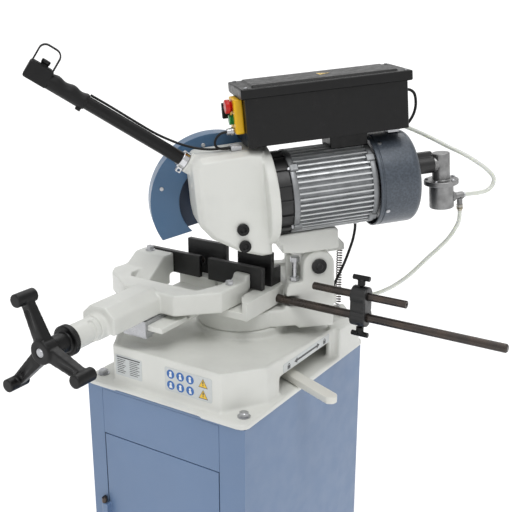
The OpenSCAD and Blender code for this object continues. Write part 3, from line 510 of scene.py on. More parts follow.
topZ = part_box("cabinet_shell")[1].z / mm
cords = {
    "coolantFeedHose": {
        "cad": "coolant_feed_hose", "place": head, "width": 9, "slot": "hose", "stiffness": "medium",
        "route": [[85, 337, 112], [85, 352, 112], [85, 370, 111.6], [84, 390, 114], [82, 404, 124],
                  [77, 408, 140], [66, 396, 158], [52, 376, 176], [38, 354, 192], [24, 330, 206],
                  [10, 305, 222], [-4, 275, 240], [-14, 240, 258], [-22, 200, 272], [-28, 155, 280],
                  [-31, 105, 284], [-32, 50, 286], [-31, 0, 286], [-24, -40, 283], [-6, -64, 280],
                  [12, -82, 277.5], [18, -94, 276], [18, -104, 276]]},
    "coolantSuctionHose": {
        "cad": "coolant_suction_hose", "place": turntable, "width": 9, "slot": "hose",
        "stiffness": "medium", "bend": (0.15, 0.75),
        "route": [[85, 471, 343], [85, 472.3, 328], [83, 472, 310], [79, 465, 290], [74, 453, 268],
                  [68, 435, 246], [62, 412, 222], [57, 388, 196], [53, 364, 174], [48, 336, 155],
                  [42, 306, 141], [34, 284, 135], [22, 264, 133], [8, 248, 134], [-4, 233, 135],
                  [-11, 219, 135], [-12, 206.4, 135]]},
    "motorCable": {
        "cad": "motor_cable", "place": head, "width": 6, "slot": "cable", "stiffness": "medium",
        "route": [[70, 212, 352], [70, 224, 350], [70, 233, 342], [70, 236, 328], [70, 235, 312],
                  [70, 229, 296], [70, 218, 282], [70, 206, 275], [70, 192, 273]]},
    "supplyCable": {
        "cad": "supply_cable", "place": turntable, "width": 6, "slot": "cable",
        "stiffness": "medium", "bend": (0.1, 0.9),
        "route": [[50, 245, 312], [50, 245, 298], [50, 241, 274], [50, 233, 248], [49, 224, 222],
                  [48, 214, 198], [47, 206, 180], [46, 201, 165], [46, 199, 150]]},
    "panelCable": {
        "cad": "panel_cable", "place": head, "width": 5, "slot": "cable", "stiffness": "limp",
        "route": [[84, -172, 313], [84, -184, 311], [84, -194, 303], [84, -198, 292], [84, -194, 284],
                  [84, -184, 280], [84, -168, 279]]},
    "handleCable": {
        "cad": "handle_cable", "place": head, "width": 5, "slot": "cable", "stiffness": "limp",
        "route": [[78, -168, 280], [75, -184, 279], [70, -204, 279], [64, -222, 281], [60, -238, 285],
                  [60, -256, 292], [60, -280, 304], [60, -311, 323], [60, -340, 345], [60, -369, 368],
                  [60, -398, 391], [60, -427, 413]]},
}
for name, cord in cords.items():
    lift = topZ if cord["place"] == turntable else 0
    line = [cord["place"] @ ((p + Vector((0, 0, lift))) * mm) for p in curvePoints(cord["route"], 6)]
    bm = sweep(bmesh.new(), line, cord["width"] * mm / 2, 16)
    bm.normal_update()
    bmesh.ops.recalc_face_normals(bm, faces=bm.faces)
    piece = newPiece(name, bm)
    piece.data.materials.append(materials[cord["slot"]])
    if "bend" in cord:
        end = line[-1].lerp(line[0], cord["bend"][1])
        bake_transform(piece)
    else:
        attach(piece, "head")
    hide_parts(cord["cad"])
print("cords laid:", len(cords))


# Geometry Nodes
class NodeTree:
    def __init__(self, name, **sizes):
        self.tree = bpy.data.node_groups.new(name, "GeometryNodeTree")
        face = self.tree.interface
        face.new_socket("Geometry", in_out="INPUT", socket_type="NodeSocketGeometry")
        self.sockets = {}
        for label, value in sizes.items():
            kind = "NodeSocketInt" if isinstance(value, int) else "NodeSocketFloat"
            socket = face.new_socket(label, in_out="INPUT", socket_type=kind)
            socket.default_value = value
            self.sockets[label] = socket.identifier
        self.paint = face.new_socket("Material", in_out="INPUT", socket_type="NodeSocketMaterial").identifier
        face.new_socket("Geometry", in_out="OUTPUT", socket_type="NodeSocketGeometry")
        self.inputs = self.tree.nodes.new("NodeGroupInput")

    def size(self, label):
        return self.inputs.outputs[label]

    def node(self, kind, links=(), **options):
        node = self.tree.nodes.new(kind)
        for name, value in options.items():
            setattr(node, name, value)
        for target, source in dict(links).items():
            socket = node.inputs[target]
            if isinstance(source, bpy.types.NodeSocket):
                self.tree.links.new(source, socket)
            else:
                socket.default_value = source
        return node

    def math(self, operation, a, b):
        return self.node("ShaderNodeMath", {0: a, 1: b}, operation=operation).outputs[0]

    def vector(self, x=0.0, y=0.0, z=0.0):
        return self.node("ShaderNodeCombineXYZ", {"X": x, "Y": y, "Z": z}).outputs[0]

    def moved(self, geometry, offset=(0, 0, 0), turn=(0, 0, 0), scale=(1, 1, 1)):
        return self.node("GeometryNodeTransform", {"Geometry": geometry, "Translation": offset, "Rotation": turn,
                                                   "Scale": scale}).outputs["Geometry"]

    def join(self, *geometries):
        node = self.node("GeometryNodeJoinGeometry")
        for geometry in geometries:
            self.tree.links.new(geometry, node.inputs[0])
        return node.outputs[0]

    def finish(self, geometry):
        real = self.node("GeometryNodeRealizeInstances", {"Geometry": geometry}).outputs[0]
        painted = self.node("GeometryNodeSetMaterial", {"Geometry": real, "Material": self.size("Material")})
        out = self.tree.nodes.new("NodeGroupOutput")
        self.tree.links.new(painted.outputs[0], out.inputs[0])
        return self


def grown(name, tree, material, points=None, place=room, sharpAngle=38, **sizes):
    # Runs a tree on a mesh of bare points, each with the direction that its copy faces
    mesh = bpy.data.meshes.new(name)
    points = points or [((0, 0, 0), (0, 0, 1))]
    mesh.from_pydata([p for p, _ in points], [], [])
    facing = mesh.attributes.new("facing", "FLOAT_VECTOR", "POINT")
    for i, (_, direction) in enumerate(points):
        facing.data[i].vector = direction
    piece = bpy.data.objects.new(name, mesh)
    bpy.context.scene.collection.objects.link(piece)
    modifier = piece.modifiers.new("tree", "NODES")
    modifier.node_group = tree.tree
    for label, value in sizes.items():
        modifier[tree.sockets[label]] = value
    modifier[tree.paint] = materials[material]
    applyModifiers(piece)
    piece.data.transform(place)
    piece.data.shade_smooth()
    piece.data.set_sharp_from_angle(angle=math.radians(sharpAngle))
    return piece


def boltTree():
    # Hex or round head with a chamfer, on a washer; sizes in metres
    tree = NodeTree("bolt heads", sides=6, radius=0.008, height=0.006, washer=0.0, socket=0.0)
    body = tree.math("MULTIPLY", tree.size("height"), 0.82)
    prism = tree.node("GeometryNodeMeshCylinder", {"Vertices": tree.size("sides"), "Radius": tree.size("radius"),
                                                   "Depth": body}).outputs["Mesh"]
    prism = tree.moved(prism, tree.vector(z=tree.math("MULTIPLY", body, 0.5)))
    crown = tree.node("GeometryNodeMeshCone", {"Vertices": 24,
                                               "Radius Bottom": tree.math("MULTIPLY", tree.size("radius"), 0.86),
                                               "Radius Top": tree.math("MULTIPLY", tree.size("radius"), 0.74),
                                               "Depth": tree.math("MULTIPLY", tree.size("height"), 0.18)})
    crown = tree.moved(crown.outputs["Mesh"], tree.vector(z=body))
    washer = tree.node("GeometryNodeMeshCylinder", {"Vertices": 32, "Radius": tree.size("washer"),
                                                    "Depth": 0.0016}).outputs["Mesh"]
    dimple = tree.node("GeometryNodeMeshCylinder", {"Vertices": 6, "Radius": tree.size("socket"),
                                                    "Depth": 0.0003}).outputs["Mesh"]
    dimple = tree.moved(dimple, tree.vector(z=tree.math("MULTIPLY", tree.size("height"), 1.0)))
    head = tree.join(prism, crown, washer, dimple)
    facing = tree.node("GeometryNodeInputNamedAttribute", {"Name": "facing"}, data_type="FLOAT_VECTOR")
    turn = tree.node("FunctionNodeAlignRotationToVector", {"Vector": facing.outputs[0]}, axis="Z")
    placed = tree.node("GeometryNodeInstanceOnPoints", {"Points": tree.size("Geometry"), "Instance": head,
                                                        "Rotation": turn.outputs[0]})
    return tree.finish(placed.outputs[0])


def finTree():
    # Straight fins round the local y axis
    tree = NodeTree("fins round an axis", count=56, radius=0.08, length=0.15, depth=0.008, width=0.0022)
    circle = tree.node("GeometryNodeMeshCircle", {"Vertices": tree.size("count"), "Radius": tree.size("radius")})
    fin = tree.node("GeometryNodeMeshCube", {"Size": tree.vector(tree.size("depth"), tree.size("width"),
                                                                 tree.size("length"))})
    index = tree.node("GeometryNodeInputIndex").outputs[0]
    angle = tree.math("DIVIDE", tree.math("MULTIPLY", index, 2 * math.pi), tree.size("count"))
    placed = tree.node("GeometryNodeInstanceOnPoints", {"Points": circle.outputs[0], "Instance": fin.outputs[0],
                                                        "Rotation": tree.vector(z=angle)})
    return tree.finish(tree.moved(placed.outputs[0], turn=(math.pi / 2, 0, 0)))


def coilTree():
    # A spring on the local z axis, an even spiral of wire
    tree = NodeTree("coil spring", turns=14.0, radius=0.0055, height=0.12, wire=0.0011)
    spiral = tree.node("GeometryNodeCurveSpiral", {"Resolution": 20, "Rotations": tree.size("turns"),
                                                   "Start Radius": tree.size("radius"),
                                                   "End Radius": tree.size("radius"),
                                                   "Height": tree.size("height")})
    profile = tree.node("GeometryNodeCurvePrimitiveCircle", {"Resolution": 8, "Radius": tree.size("wire")})
    wire = tree.node("GeometryNodeCurveToMesh", {"Curve": spiral.outputs[0], "Profile Curve": profile.outputs[0],
                                                 "Fill Caps": True})
    return tree.finish(wire.outputs[0])


def grilleTree():
    # Rings of wire about the local y axis, from the smallest to the largest
    tree = NodeTree("wire grille", rings=7, first=0.012, step=0.01, wire=0.0012)
    line = tree.node("GeometryNodeMeshLine", {"Count": tree.size("rings"), "Offset": (0, 0, 0)})
    ring = tree.node("GeometryNodeCurvePrimitiveCircle", {"Resolution": 48, "Radius": 1.0})
    index = tree.node("GeometryNodeInputIndex").outputs[0]
    size = tree.math("ADD", tree.math("MULTIPLY", index, tree.size("step")), tree.size("first"))
    rings = tree.node("GeometryNodeInstanceOnPoints", {"Points": line.outputs[0], "Instance": ring.outputs[0],
                                                       "Scale": tree.vector(size, size, size)})
    real = tree.node("GeometryNodeRealizeInstances", {"Geometry": rings.outputs[0]})
    profile = tree.node("GeometryNodeCurvePrimitiveCircle", {"Resolution": 6, "Radius": tree.size("wire")})
    wire = tree.node("GeometryNodeCurveToMesh", {"Curve": real.outputs[0], "Profile Curve": profile.outputs[0]})
    return tree.finish(tree.moved(wire.outputs[0], turn=(math.pi / 2, 0, 0)))


bolts, fins, coil, grille = boltTree(), finTree(), coilTree(), grilleTree()
print("node trees built")

# Castings and sheet metal: rounded copies of the CAD shapes
softCopies = {
    # CAD node: body, slot, edge radius in mm
    "cabinet_shell": ("base", "cabinet", 1.4),
    "cabinet_fascia": ("base", "cabinet", 0.8),
    "cabinet_door": ("cabinet_door", "cabinet", 0.8),
    "door_hinge_pins": ("base", "dark_steel", 0.7),
    "door_latch": ("door_latch", "steel", 0.8),
    "coolant_tank": ("base", "fan_grey", 1.2),
    "table_bed": ("base", "casting", 1.6),
    "rear_jaw_left": ("base", "black_iron", 1.2),
    "rear_jaw_right": ("base", "black_iron", 1.2),
    "front_jaw_left": ("vise_ram", "black_iron", 1.2),
    "front_jaw_right": ("vise_ram", "black_iron", 1.2),
    "stop_rod": ("base", "dark_steel", 1.0),
    "stop_bar": ("stop_bar", "dark_steel", 0.9),
    "pivot_pin": ("turntable", "black_iron", 1.2),
    "yoke_bolts": ("turntable", "steel", 0.6),
    "vise_cross_slide": ("vise_cross", "steel", 1.0),
    "jaw_bolts": ("vise_ram", "steel", 0.7),
    "screw_sleeve": ("vise_ram", "casting", 1.5),
    "vise_screw": ("handwheel", "steel", 0.8),
    "oil_plugs": ("head", "black_plastic", 1.2),
    "spindle": ("spindle", "steel", 0.8),
    "motor_adapter": ("head", "black_iron", 1.5),
    "terminal_box": ("head", "black_plastic", 2.5),
    "electrics_box": ("head", "black_plastic", 3.0),
    "electrics_lid": ("head", "black_plastic", 2.6),
    "box_bracket": ("head", "black_iron", 1.0),
    "switch_housing": ("head", "yellow_plastic", 3.0),
    "start_button": ("start_button", "green_plastic", 1.0),
    "stop_button": ("stop_button", "red_plastic", 2.0),
    "selector_knob": ("selector_knob", "black_plastic", 2.0),
    "cable_glands": ("head", "steel", 0.7),
    "blade_guard": ("head", "guard", 1.0),
    "handle_clamp": ("head", "chrome", 1.2),
    "handle_tube": ("head", "black_plastic", 0.8),
    "trigger_button": ("trigger_button", "black_plastic", 1.5),
    "pump_bracket": ("head", "black_iron", 1.5),
    "pump_body": ("head", "pump_grey", 1.6),
}
castCopies = {
    # CAD node: body, slot, cell in mm, place
    "base_casting": ("base", "casting", 3.0, room),
    "turntable_yoke": ("turntable", "casting", 2.3, turntable),
    "vise_fork": ("vise_ram", "casting", 2.3, room),
    "gearbox_housing": ("head", "casting", 2.5, head),
    "lock_lever": ("lock_lever", "lever", 1.6, room),
    "handwheel": ("handwheel", "black_plastic", 1.6, room),
    "stop_block": ("stop_block", "black_iron", 1.3, room),
    "stop_knob_upper": ("stop_knob_upper", "black_plastic", 0.9, room),
    "stop_knob_lower": ("stop_knob_lower", "black_plastic", 0.9, room),
}
otherNames = {"door_hinge_pins": "hingePins", "handwheel": "handwheelArms"}


def pieceName(nodeName):
    first, *rest = nodeName.split("_")
    return otherNames.get(nodeName, first + "".join(word.title() for word in rest))


shapes = {}
for nodeName, (body, slot, cell, place) in castCopies.items():
    copied = castCopy(nodeName, pieceName(nodeName), cell * mm, place)
    shapes[nodeName] = finishPiece(copied, body, slot, cad=[nodeName])
print("cast copies made:", len(shapes))
for nodeName, (body, slot, radius) in softCopies.items():
    copied = softened(nodeName, pieceName(nodeName), radius * mm)
    shapes[nodeName] = finishPiece(copied, body, slot, cad=[nodeName])
print("rounded copies made:", len(shapes))


def bolted(name, body, slot, places, place=room, **sizes):
    # Screw heads at points in mm, each with the way that it faces
    points = [(Vector(p) * mm, Vector(d).normalized()) for p, d in places]
    real = {key: (value if key == "sides" else value * mm) for key, value in sizes.items()}
    return finishPiece(grown(name, bolts, slot, points, place, **real), body, slot)


def spanMm(name, place=room):
    return tuple([a / mm for a in corner] for corner in span(name, place))


def added(bm, part, matrix):
    # Joins a small mesh to a larger one, turned or moved
    mesh = bpy.data.meshes.new("part")
    part.to_mesh(mesh)
    part.free()
    mesh.transform(matrix)
    bm.from_mesh(mesh)
    return bm


# Motor: end bells, fins along the shaft, through bolts
motorLow, motorHigh = spanMm("motor_body", motorAxis)
motorSizes = {"fins": 46, "finDepth": 8.5, "finWidth": 3.2, "finRoot": 0.8, "bell": 13, "bellEdge": 3, "bore": 60,
              "coreDepth": 8, "lugs": 4, "lugHalf": 8, "lugProud": 3.5, "lugLap": 6, "boltInset": 2.6}
front, back, rim = motorLow[1], motorHigh[1], motorHigh[0]
core, bell, edge = rim - motorSizes["coreDepth"], motorSizes["bell"], motorSizes["bellEdge"]
half = [(motorSizes["bore"], 0), (rim - edge, 0), (rim - 0.8, 0.8), (rim, edge), (rim, bell - edge),
        (rim - 1.5, bell - 0.6), (core, bell)]
profile = [(r, front + y) for r, y in half] + [(r, back - y) for r, y in half[::-1]]
bm = lathe([(r * mm, y * mm) for r, y in profile], 96)
finishPiece(newPiece("motorShell", bm, motorAxis), "head", "aluminium", "bellGrey", cad=["motor_body"])
finPlace = motorAxis @ Matrix.Translation((0, (front + back) / 2 * mm, 0))
motorFins = grown("motorFins", fins, "aluminium", place=finPlace, count=motorSizes["fins"],
                  radius=(core + motorSizes["finDepth"] / 2 - motorSizes["finRoot"]) * mm,
                  depth=motorSizes["finDepth"] * mm, width=motorSizes["finWidth"] * mm,
                  length=(back - front - 2 * bell + 1) * mm)
finishPiece(motorFins, "head", "aluminium")
bm = bmesh.new()
lugHalf, lugLap = motorSizes["lugHalf"], bell + motorSizes["lugLap"]
for k in range(motorSizes["lugs"]):
    turn = Matrix.Rotation(math.radians(45 + 360 / motorSizes["lugs"] * k), 4, "Y")
    for y0, y1 in ((front + 0.5, front + lugLap), (back - lugLap, back - 0.5)):
        added(bm, block(bmesh.new(), (-lugHalf * mm, y0 * mm, (core - 2) * mm),
                        (lugHalf * mm, y1 * mm, (rim + motorSizes["lugProud"]) * mm)), turn)
finishPiece(rounded(newPiece("motorLugs", bm, motorAxis), 2.2 * mm, 3), "head", "aluminium", "bellGrey")
boltRim = rim - motorSizes["boltInset"]
diagonals = [math.radians(45 + 90 * k) for k in range(4)]
bolted("motorBolts", "head", "steel",
       [((math.cos(a) * boltRim, front + 1, math.sin(a) * boltRim), (0, -1, 0)) for a in diagonals],
       motorAxis, sides=6, radius=4.6, height=5)

# Ribs in the dark gap between gearbox and motor
adapterLow, adapterHigh = spanMm("motor_adapter", motorAxis)
ribSizes = {"count": 16, "depth": 7, "width": 4}
adapterMid = (adapterLow[1] + adapterHigh[1]) / 2 * mm
ribs = grown("adapterRibs", fins, "black_iron", place=motorAxis @ Matrix.Translation((0, adapterMid, 0)),
             count=ribSizes["count"], radius=adapterHigh[0] * mm, depth=ribSizes["depth"] * mm,
             width=ribSizes["width"] * mm, length=(adapterHigh[1] - adapterLow[1] - 1) * mm)
finishPiece(ribs, "head", "black_iron")

# Fan cover: drawn sheet with a rolled front edge and a wire grille
coverLow, coverHigh = spanMm("fan_cover", motorAxis)
coverSizes = {"wall": 2.6, "lip": 6, "groove": 1.4, "mouth": 72, "shoulder": 18, "dome": 16, "rings": 7,
              "firstRing": 10, "wire": 1.3, "spokes": 4, "spokeHalf": 2, "screwAt": 16}
front, back, rim = coverLow[1], coverHigh[1], coverHigh[0]
wall, mouth, lip = coverSizes["wall"], coverSizes["mouth"], front + coverSizes["lip"]
groove, shoulder, dome = coverSizes["groove"], coverSizes["shoulder"], coverSizes["dome"]


def coverCorner(width, depth, angles):
    # The rounded rear corner, outside or inside, as (radius, along)
    return [(rim - shoulder + width * math.cos(math.radians(a)), back - dome + depth * math.sin(math.radians(a)))
            for a in angles]


profile = ([(rim - wall, front), (rim, front + 0.8), (rim, lip), (rim - groove, lip + 1.6),
            (rim - groove, lip + 3.6), (rim, lip + 5)]
           + coverCorner(shoulder, dome, range(0, 91, 10)) + [(mouth, back), (mouth, back - wall)]
           + coverCorner(shoulder - 3, dome - 3, range(90, -1, -15)))
bm = lathe([(r * mm, y * mm) for r, y in profile], 96, loop=True)
finishPiece(newPiece("fanCover", bm, motorAxis), "head", "fan_grey", cad=["fan_cover"])
grillePlace = motorAxis @ Matrix.Translation((0, (back - 2) * mm, 0))
finishPiece(grown("fanGrille", grille, "fan_grey", place=grillePlace, rings=coverSizes["rings"],
                  first=coverSizes["firstRing"] * mm,
                  step=(mouth - coverSizes["firstRing"]) / coverSizes["rings"] * mm,
                  wire=coverSizes["wire"] * mm), "head", "fan_grey")
bm = bmesh.new()
spokeHalf = coverSizes["spokeHalf"]
for k in range(coverSizes["spokes"]):
    added(bm, block(bmesh.new(), (-(mouth + 1) * mm, (back - 5) * mm, -spokeHalf * mm),
                    ((mouth + 1) * mm, (back - 3) * mm, spokeHalf * mm)),
          Matrix.Rotation(math.radians(45 * k), 4, "Y"))
finishPiece(newPiece("fanSpokes", bm, motorAxis), "head", "fan_grey")
around = [math.radians(a) for a in (-30, 60, 150, 240)]
bolted("fanCoverScrews", "head", "steel",
       [((math.cos(a) * rim, front + coverSizes["screwAt"], math.sin(a) * rim), (math.cos(a), 0, math.sin(a)))
        for a in around], motorAxis, sides=20, radius=4.4, height=2.4, socket=1.9)

# Return spring
springLow, springHigh = span("return_spring", turntable)
springSizes = {"turns": 22.0, "wire": 1.2}
endTurn = springSizes["wire"] * mm
springAt = turntable @ Matrix.Translation(((springLow.x + springHigh.x) / 2, (springLow.y + springHigh.y) / 2,
                                           springLow.z + endTurn))
spring = grown("returnSpring", coil, "dark_steel", place=springAt, turns=springSizes["turns"],
               radius=(springHigh.x - springLow.x) / 2 - 1.3 * mm, height=springHigh.z - springLow.z - 2 * endTurn,
               wire=endTurn, sharpAngle=80)
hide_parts("return_spring")
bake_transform(spring)

# Feed handle: moulded grip with finger waves on top, end block and a strap over the thumb
gripLow, gripHigh = spanMm("handle_grip", handle)
gripSizes = {"waves": 2.5, "waveDepth": 3.4, "sides": 40, "steps": 60, "radius": 17.2, "block": 50, "blockHalf": 17,
             "blockTop": 19, "strap": 3.0, "strapHalf": 9, "strapRise": 40, "strapCorner": 15}
gripEnd, gripStart = gripHigh[2], gripLow[2]
blockStart, blockTop = gripEnd - gripSizes["block"], gripSizes["blockTop"]
bm = bmesh.new()
rings = []
for i in range(gripSizes["steps"] + 1):
    t = i / gripSizes["steps"]
    z = gripStart + (blockStart + 6 - gripStart) * t
    ringPoints = []
    for j in range(gripSizes["sides"]):
        a = 2 * math.pi * j / gripSizes["sides"]
        hollow = (1 - math.cos(2 * math.pi * gripSizes["waves"] * t)) / 2
        wave = gripSizes["waveDepth"] * max(0.0, math.sin(a)) * hollow
        r = gripSizes["radius"] - wave - 2.0 * math.exp(-(t / 0.03) ** 2)
        ringPoints.append(bm.verts.new((r * math.cos(a) * mm, r * math.sin(a) * mm, z * mm)))
    rings.append(ringPoints)
skinned(bm, rings)
bm.faces.new(rings[0])
bm.faces.new(rings[-1])
finishPiece(newPiece("handleGrip", closed(bm), handle), "head", "black_plastic", "softBlack", cad=["handle_grip"])
half = gripSizes["blockHalf"]
bm = block(bmesh.new(), (-half * mm, -half * mm, blockStart * mm), (half * mm, blockTop * mm, gripEnd * mm))
finishPiece(rounded(newPiece("gripEndBlock", bm, handle), 4.5 * mm, 4), "head", "black_plastic", "softBlack")
bm = bmesh.new()
for x in (-12, 12):
    block(bm, ((x - 1.6) * mm, (blockTop - 1) * mm, (blockStart + 6) * mm),
          ((x + 1.6) * mm, (blockTop + 1) * mm, (gripEnd - 6) * mm))
block(bm, (-7 * mm, -22 * mm, (gripStart + 3) * mm), (7 * mm, -15 * mm, (gripStart + 13) * mm))
finishPiece(rounded(newPiece("gripRidges", bm, handle), 0.8 * mm, 2), "head", "black_plastic", "softBlack")


def strapOutline(inset):
    # A leg, the rounded top and the other leg, as (along, up)
    corner = gripSizes["strapCorner"] - inset
    z0, z1 = blockStart + 2 + inset, gripEnd - 2 - inset
    crown = blockTop + gripSizes["strapRise"] - inset
    return ([(z1, blockTop - 3)] + arc(z1 - corner, crown - corner, corner, 0, 90, 10)
            + arc(z0 + corner, crown - corner, corner, 90, 180, 10) + [(z0, blockTop - 3)])


bm = bmesh.new()
strapHalf = gripSizes["strapHalf"]
edges = [[bm.verts.new((x * mm, y * mm, z * mm)) for z, y in strapOutline(inset)]
         for x, inset in ((-strapHalf, 0), (strapHalf, 0), (strapHalf, gripSizes["strap"]),
                          (-strapHalf, gripSizes["strap"]))]
for side, other in zip(edges, edges[1:] + edges[:1]):
    for i in range(len(side) - 1):
        bm.faces.new((side[i], side[i + 1], other[i + 1], other[i]))
for end in (0, -1):
    bm.faces.new([side[end] for side in edges])
finishPiece(rounded(newPiece("thumbLoop", closed(bm), handle), 0.7 * mm, 2), "head", "black_plastic", "softBlack")
print("motor, spring and handle made")

# Printed plates: simple marks, no lettering
plateLow, plateHigh = spanMm("info_plates")
plateProud = 1.2                       # how far the CAD plates stand off the casting
printDepth = {"plate": 0.7, "edge": 0.85, "mark": 0.95, "field": 1.0, "ink": 1.15}
slotNames = [entry["slot"] for entry in frame["record"]["materials"]]


def placard(name, body, slot, outlines, depth, place):
    bm = bmesh.new()
    for outline in outlines:
        slabOutline(bm, [(x * mm, z * mm) for x, z in outline], depth * mm)
    closed(bm)
    return finishPiece(newPiece(name, bm, place), body, slot if slot in slotNames else "plate", slot)


def triangle(x, z, r):
    turns = [math.radians(a) for a in (90, 210, 330)]
    return [(x + r * math.cos(a), z - r * 0.2 + r * math.sin(a)) for a in turns]


def bar(x0, x1, z0, z1):
    return [(x0, z0), (x1, z0), (x1, z1), (x0, z1)]


frontPlace = Matrix.Translation((0, (plateLow[1] + plateProud) * mm, 0))
signs = {"x0": 0, "x1": 116, "z0": topZ + 28, "z1": topZ + 80, "corner": 4, "disc": 9.6, "pitch": 24, "inset": 14}
rating = {"x0": -130, "x1": -60, "z0": topZ + 30, "z1": topZ + 76, "corner": 2,
          "rows": 8, "pitch": 4.2, "line": 1.3}
piece = placard("frontPlates", "base", "plate",
                [roundedOutline(p["x0"], p["x1"], p["z0"], p["z1"], p["corner"]) for p in (signs, rating)],
                printDepth["plate"], frontPlace)
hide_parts("info_plates")
signRows = (signs["z0"] + signs["inset"], signs["z1"] - signs["inset"])
discs = [(signs["x0"] + 15 + signs["pitch"] * i, z) for z in signRows for i in range(3)]
triangles = [(signs["x1"] - 21, z) for z in signRows]
placard("signDiscs", "base", "inkBlue", [arc(x, z, signs["disc"]) for x, z in discs], printDepth["mark"],
        frontPlace)
placard("signTriangleEdges", "base", "inkDark", [triangle(x, z, 13) for x, z in triangles], printDepth["edge"],
        frontPlace)
placard("signTriangles", "base", "inkYellow", [triangle(x, z, 11) for x, z in triangles], printDepth["field"],
        frontPlace)
whiteMarks = []
for k, (x, z) in enumerate(discs):
    # A head over shoulders, a little different on each sign
    whiteMarks += [arc(x, z + 3.2, 2.6 + 0.3 * (k % 2), steps=14),
                   [(x - 4 + k % 3, z - 6), (x + 4 - k % 2, z - 6), (x + 2.6, z + 0.4), (x - 2.6, z + 0.4)]]
placard("signWhiteMarks", "base", "inkWhite", whiteMarks, printDepth["ink"], frontPlace)
placard("signDarkMarks", "base", "inkDark",
        [m for x, z in triangles
         for m in ([(x - 1.1, z - 1.5), (x + 1.1, z - 1.5), (x + 1.6, z + 5), (x - 1.6, z + 5)],
                   arc(x, z - 4, 1.3, steps=10))], printDepth["ink"], frontPlace)
rows = []
for k in range(rating["rows"]):
    z = rating["z1"] - 10 - rating["pitch"] * k
    rows += [bar(rating["x0"] + 5, rating["x0"] + 27 - 3 * (k % 3), z, z + rating["line"]),
             bar(rating["x0"] + 38, rating["x1"] - 6 - 5 * (k % 2), z, z + rating["line"])]
rows.append(bar(rating["x0"] + 4, rating["x1"] - 4, rating["z1"] - 5.5, rating["z1"] - 3))
placard("ratingRows", "base", "inkDark", rows, printDepth["mark"], frontPlace)

# Label of the locking lever on the right side: a double arrow between two padlock shapes
sidePlace = (Matrix.Translation(((plateHigh[0] - plateProud) * mm, 0, 0))
             @ Matrix.Rotation(math.radians(90), 4, "Z"))
lever = {"x0": -90, "x1": 106, "z0": topZ + 54, "z1": topZ + 73, "corner": 3, "locks": (-68, 84),
         "arrow": (-46, 62), "head": 12, "headHalf": 6.5, "shaftHalf": 2.4}
placard("leverLabel", "base", "plate",
        [roundedOutline(lever["x0"], lever["x1"], lever["z0"], lever["z1"], lever["corner"])],
        printDepth["plate"], sidePlace)
midZ = (lever["z0"] + lever["z1"]) / 2
tail, tip = lever["arrow"]
neck, wide, thin = lever["head"], lever["headHalf"], lever["shaftHalf"]
arrow = [(tail, midZ), (tail + neck, midZ - wide), (tail + neck, midZ - thin), (tip - neck, midZ - thin),
         (tip - neck, midZ - wide), (tip, midZ), (tip - neck, midZ + wide), (tip - neck, midZ + thin),
         (tail + neck, midZ + thin), (tail + neck, midZ + wide)]
locks = []
for x in lever["locks"]:
    locks += [bar(x - 5.5, x + 5.5, midZ - 7, midZ + 0.5),
              arc(x, midZ + 0.5, 4.6, 0, 180, 12) + arc(x, midZ + 0.5, 2.9, 180, 0, 12)]
placard("leverArrow", "base", "inkDark", [arrow] + locks, printDepth["mark"], sidePlace)

# Warning triangle on the lid's raised panel
lidLow, lidHigh = spanMm("electrics_lid", head)
lidMark = {"towardsRear": 10, "edge": 19, "field": 16.5}
lidPlace = head @ Matrix.Translation(((lidLow[0] + lidHigh[0]) / 2 * mm,
                                      ((lidLow[1] + lidHigh[1]) / 2 + lidMark["towardsRear"]) * mm,
                                      lidHigh[2] * mm)) @ Matrix.Rotation(math.radians(-90), 4, "X")
placard("lidTriangleEdge", "head", "inkDark", [triangle(0, 0, lidMark["edge"])], 0.25, lidPlace)
placard("lidTriangle", "head", "inkYellow", [triangle(0, 0, lidMark["field"])], 0.4, lidPlace)
placard("lidMark", "head", "inkDark", [[(-1.4, -3), (1.4, -3), (2.2, 7), (-2.2, 7)], arc(0, -6, 1.8, steps=12)],
        0.5, lidPlace)
bolted("lidScrews", "head", "steel",
       [((x, y, lidHigh[2] - 4), (0, 0, 1)) for x in (lidLow[0] + 10, lidHigh[0] - 10)
        for y in (lidLow[1] + 12, lidHigh[1] - 12)], head, sides=20, radius=3.8, height=2.2, socket=1.8)

# Switch plate: name field and the line on the selector knob
boxLow = spanMm("electrics_box", head)[0]
panel = {"x0": boxLow[0] + 2, "x1": boxLow[0] + 38, "z0": 322, "z1": 378, "green": (366, 375)}
panelPlace = head @ Matrix.Translation((0, boxLow[1] * mm, 0))
placard("panelPlate", "head", "plate", [roundedOutline(panel["x0"], panel["x1"], panel["z0"], panel["z1"], 3)], 0.8,
        panelPlace)
placard("panelGreenField", "head", "green_plastic",
        [roundedOutline(panel["x0"] + 3, panel["x1"] - 3, *panel["green"], 1.5)], 1.2, panelPlace)
knobAt = middle("selector_knob", head) / mm
knobFace = head @ Matrix.Translation((0, spanMm("selector_knob", head)[0][1] * mm, 0))
placard("knobMark", "head", "inkWhite", [bar(knobAt.x - 0.8, knobAt.x + 0.8, knobAt.z + 4, knobAt.z + 14)], 0.4,
        knobFace)
print("plates made")

# Screws and nuts of the stand
boltLow, boltHigh = spanMm("base_bolts")
standBolts = {"washer": 13, "flangeTop": topZ + 12, "nutTop": topZ - 5}
inset = standBolts["washer"]
corners = [(x, y) for x in (boltLow[0] + inset, boltHigh[0] - inset)
           for y in (boltLow[1] + inset, boltHigh[1] - inset)]
heads = bolted("baseBolts", "base", "steel", [((x, y, standBolts["flangeTop"] + 1), (0, 0, 1)) for x, y in corners],
               sides=6, radius=10.2, height=9, washer=inset)
bolted("baseNuts", "base", "steel", [((x, y, standBolts["nutTop"]), (0, 0, -1)) for x, y in corners],
       sides=6, radius=9.5, height=8.5, washer=12)
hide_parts("base_bolts")

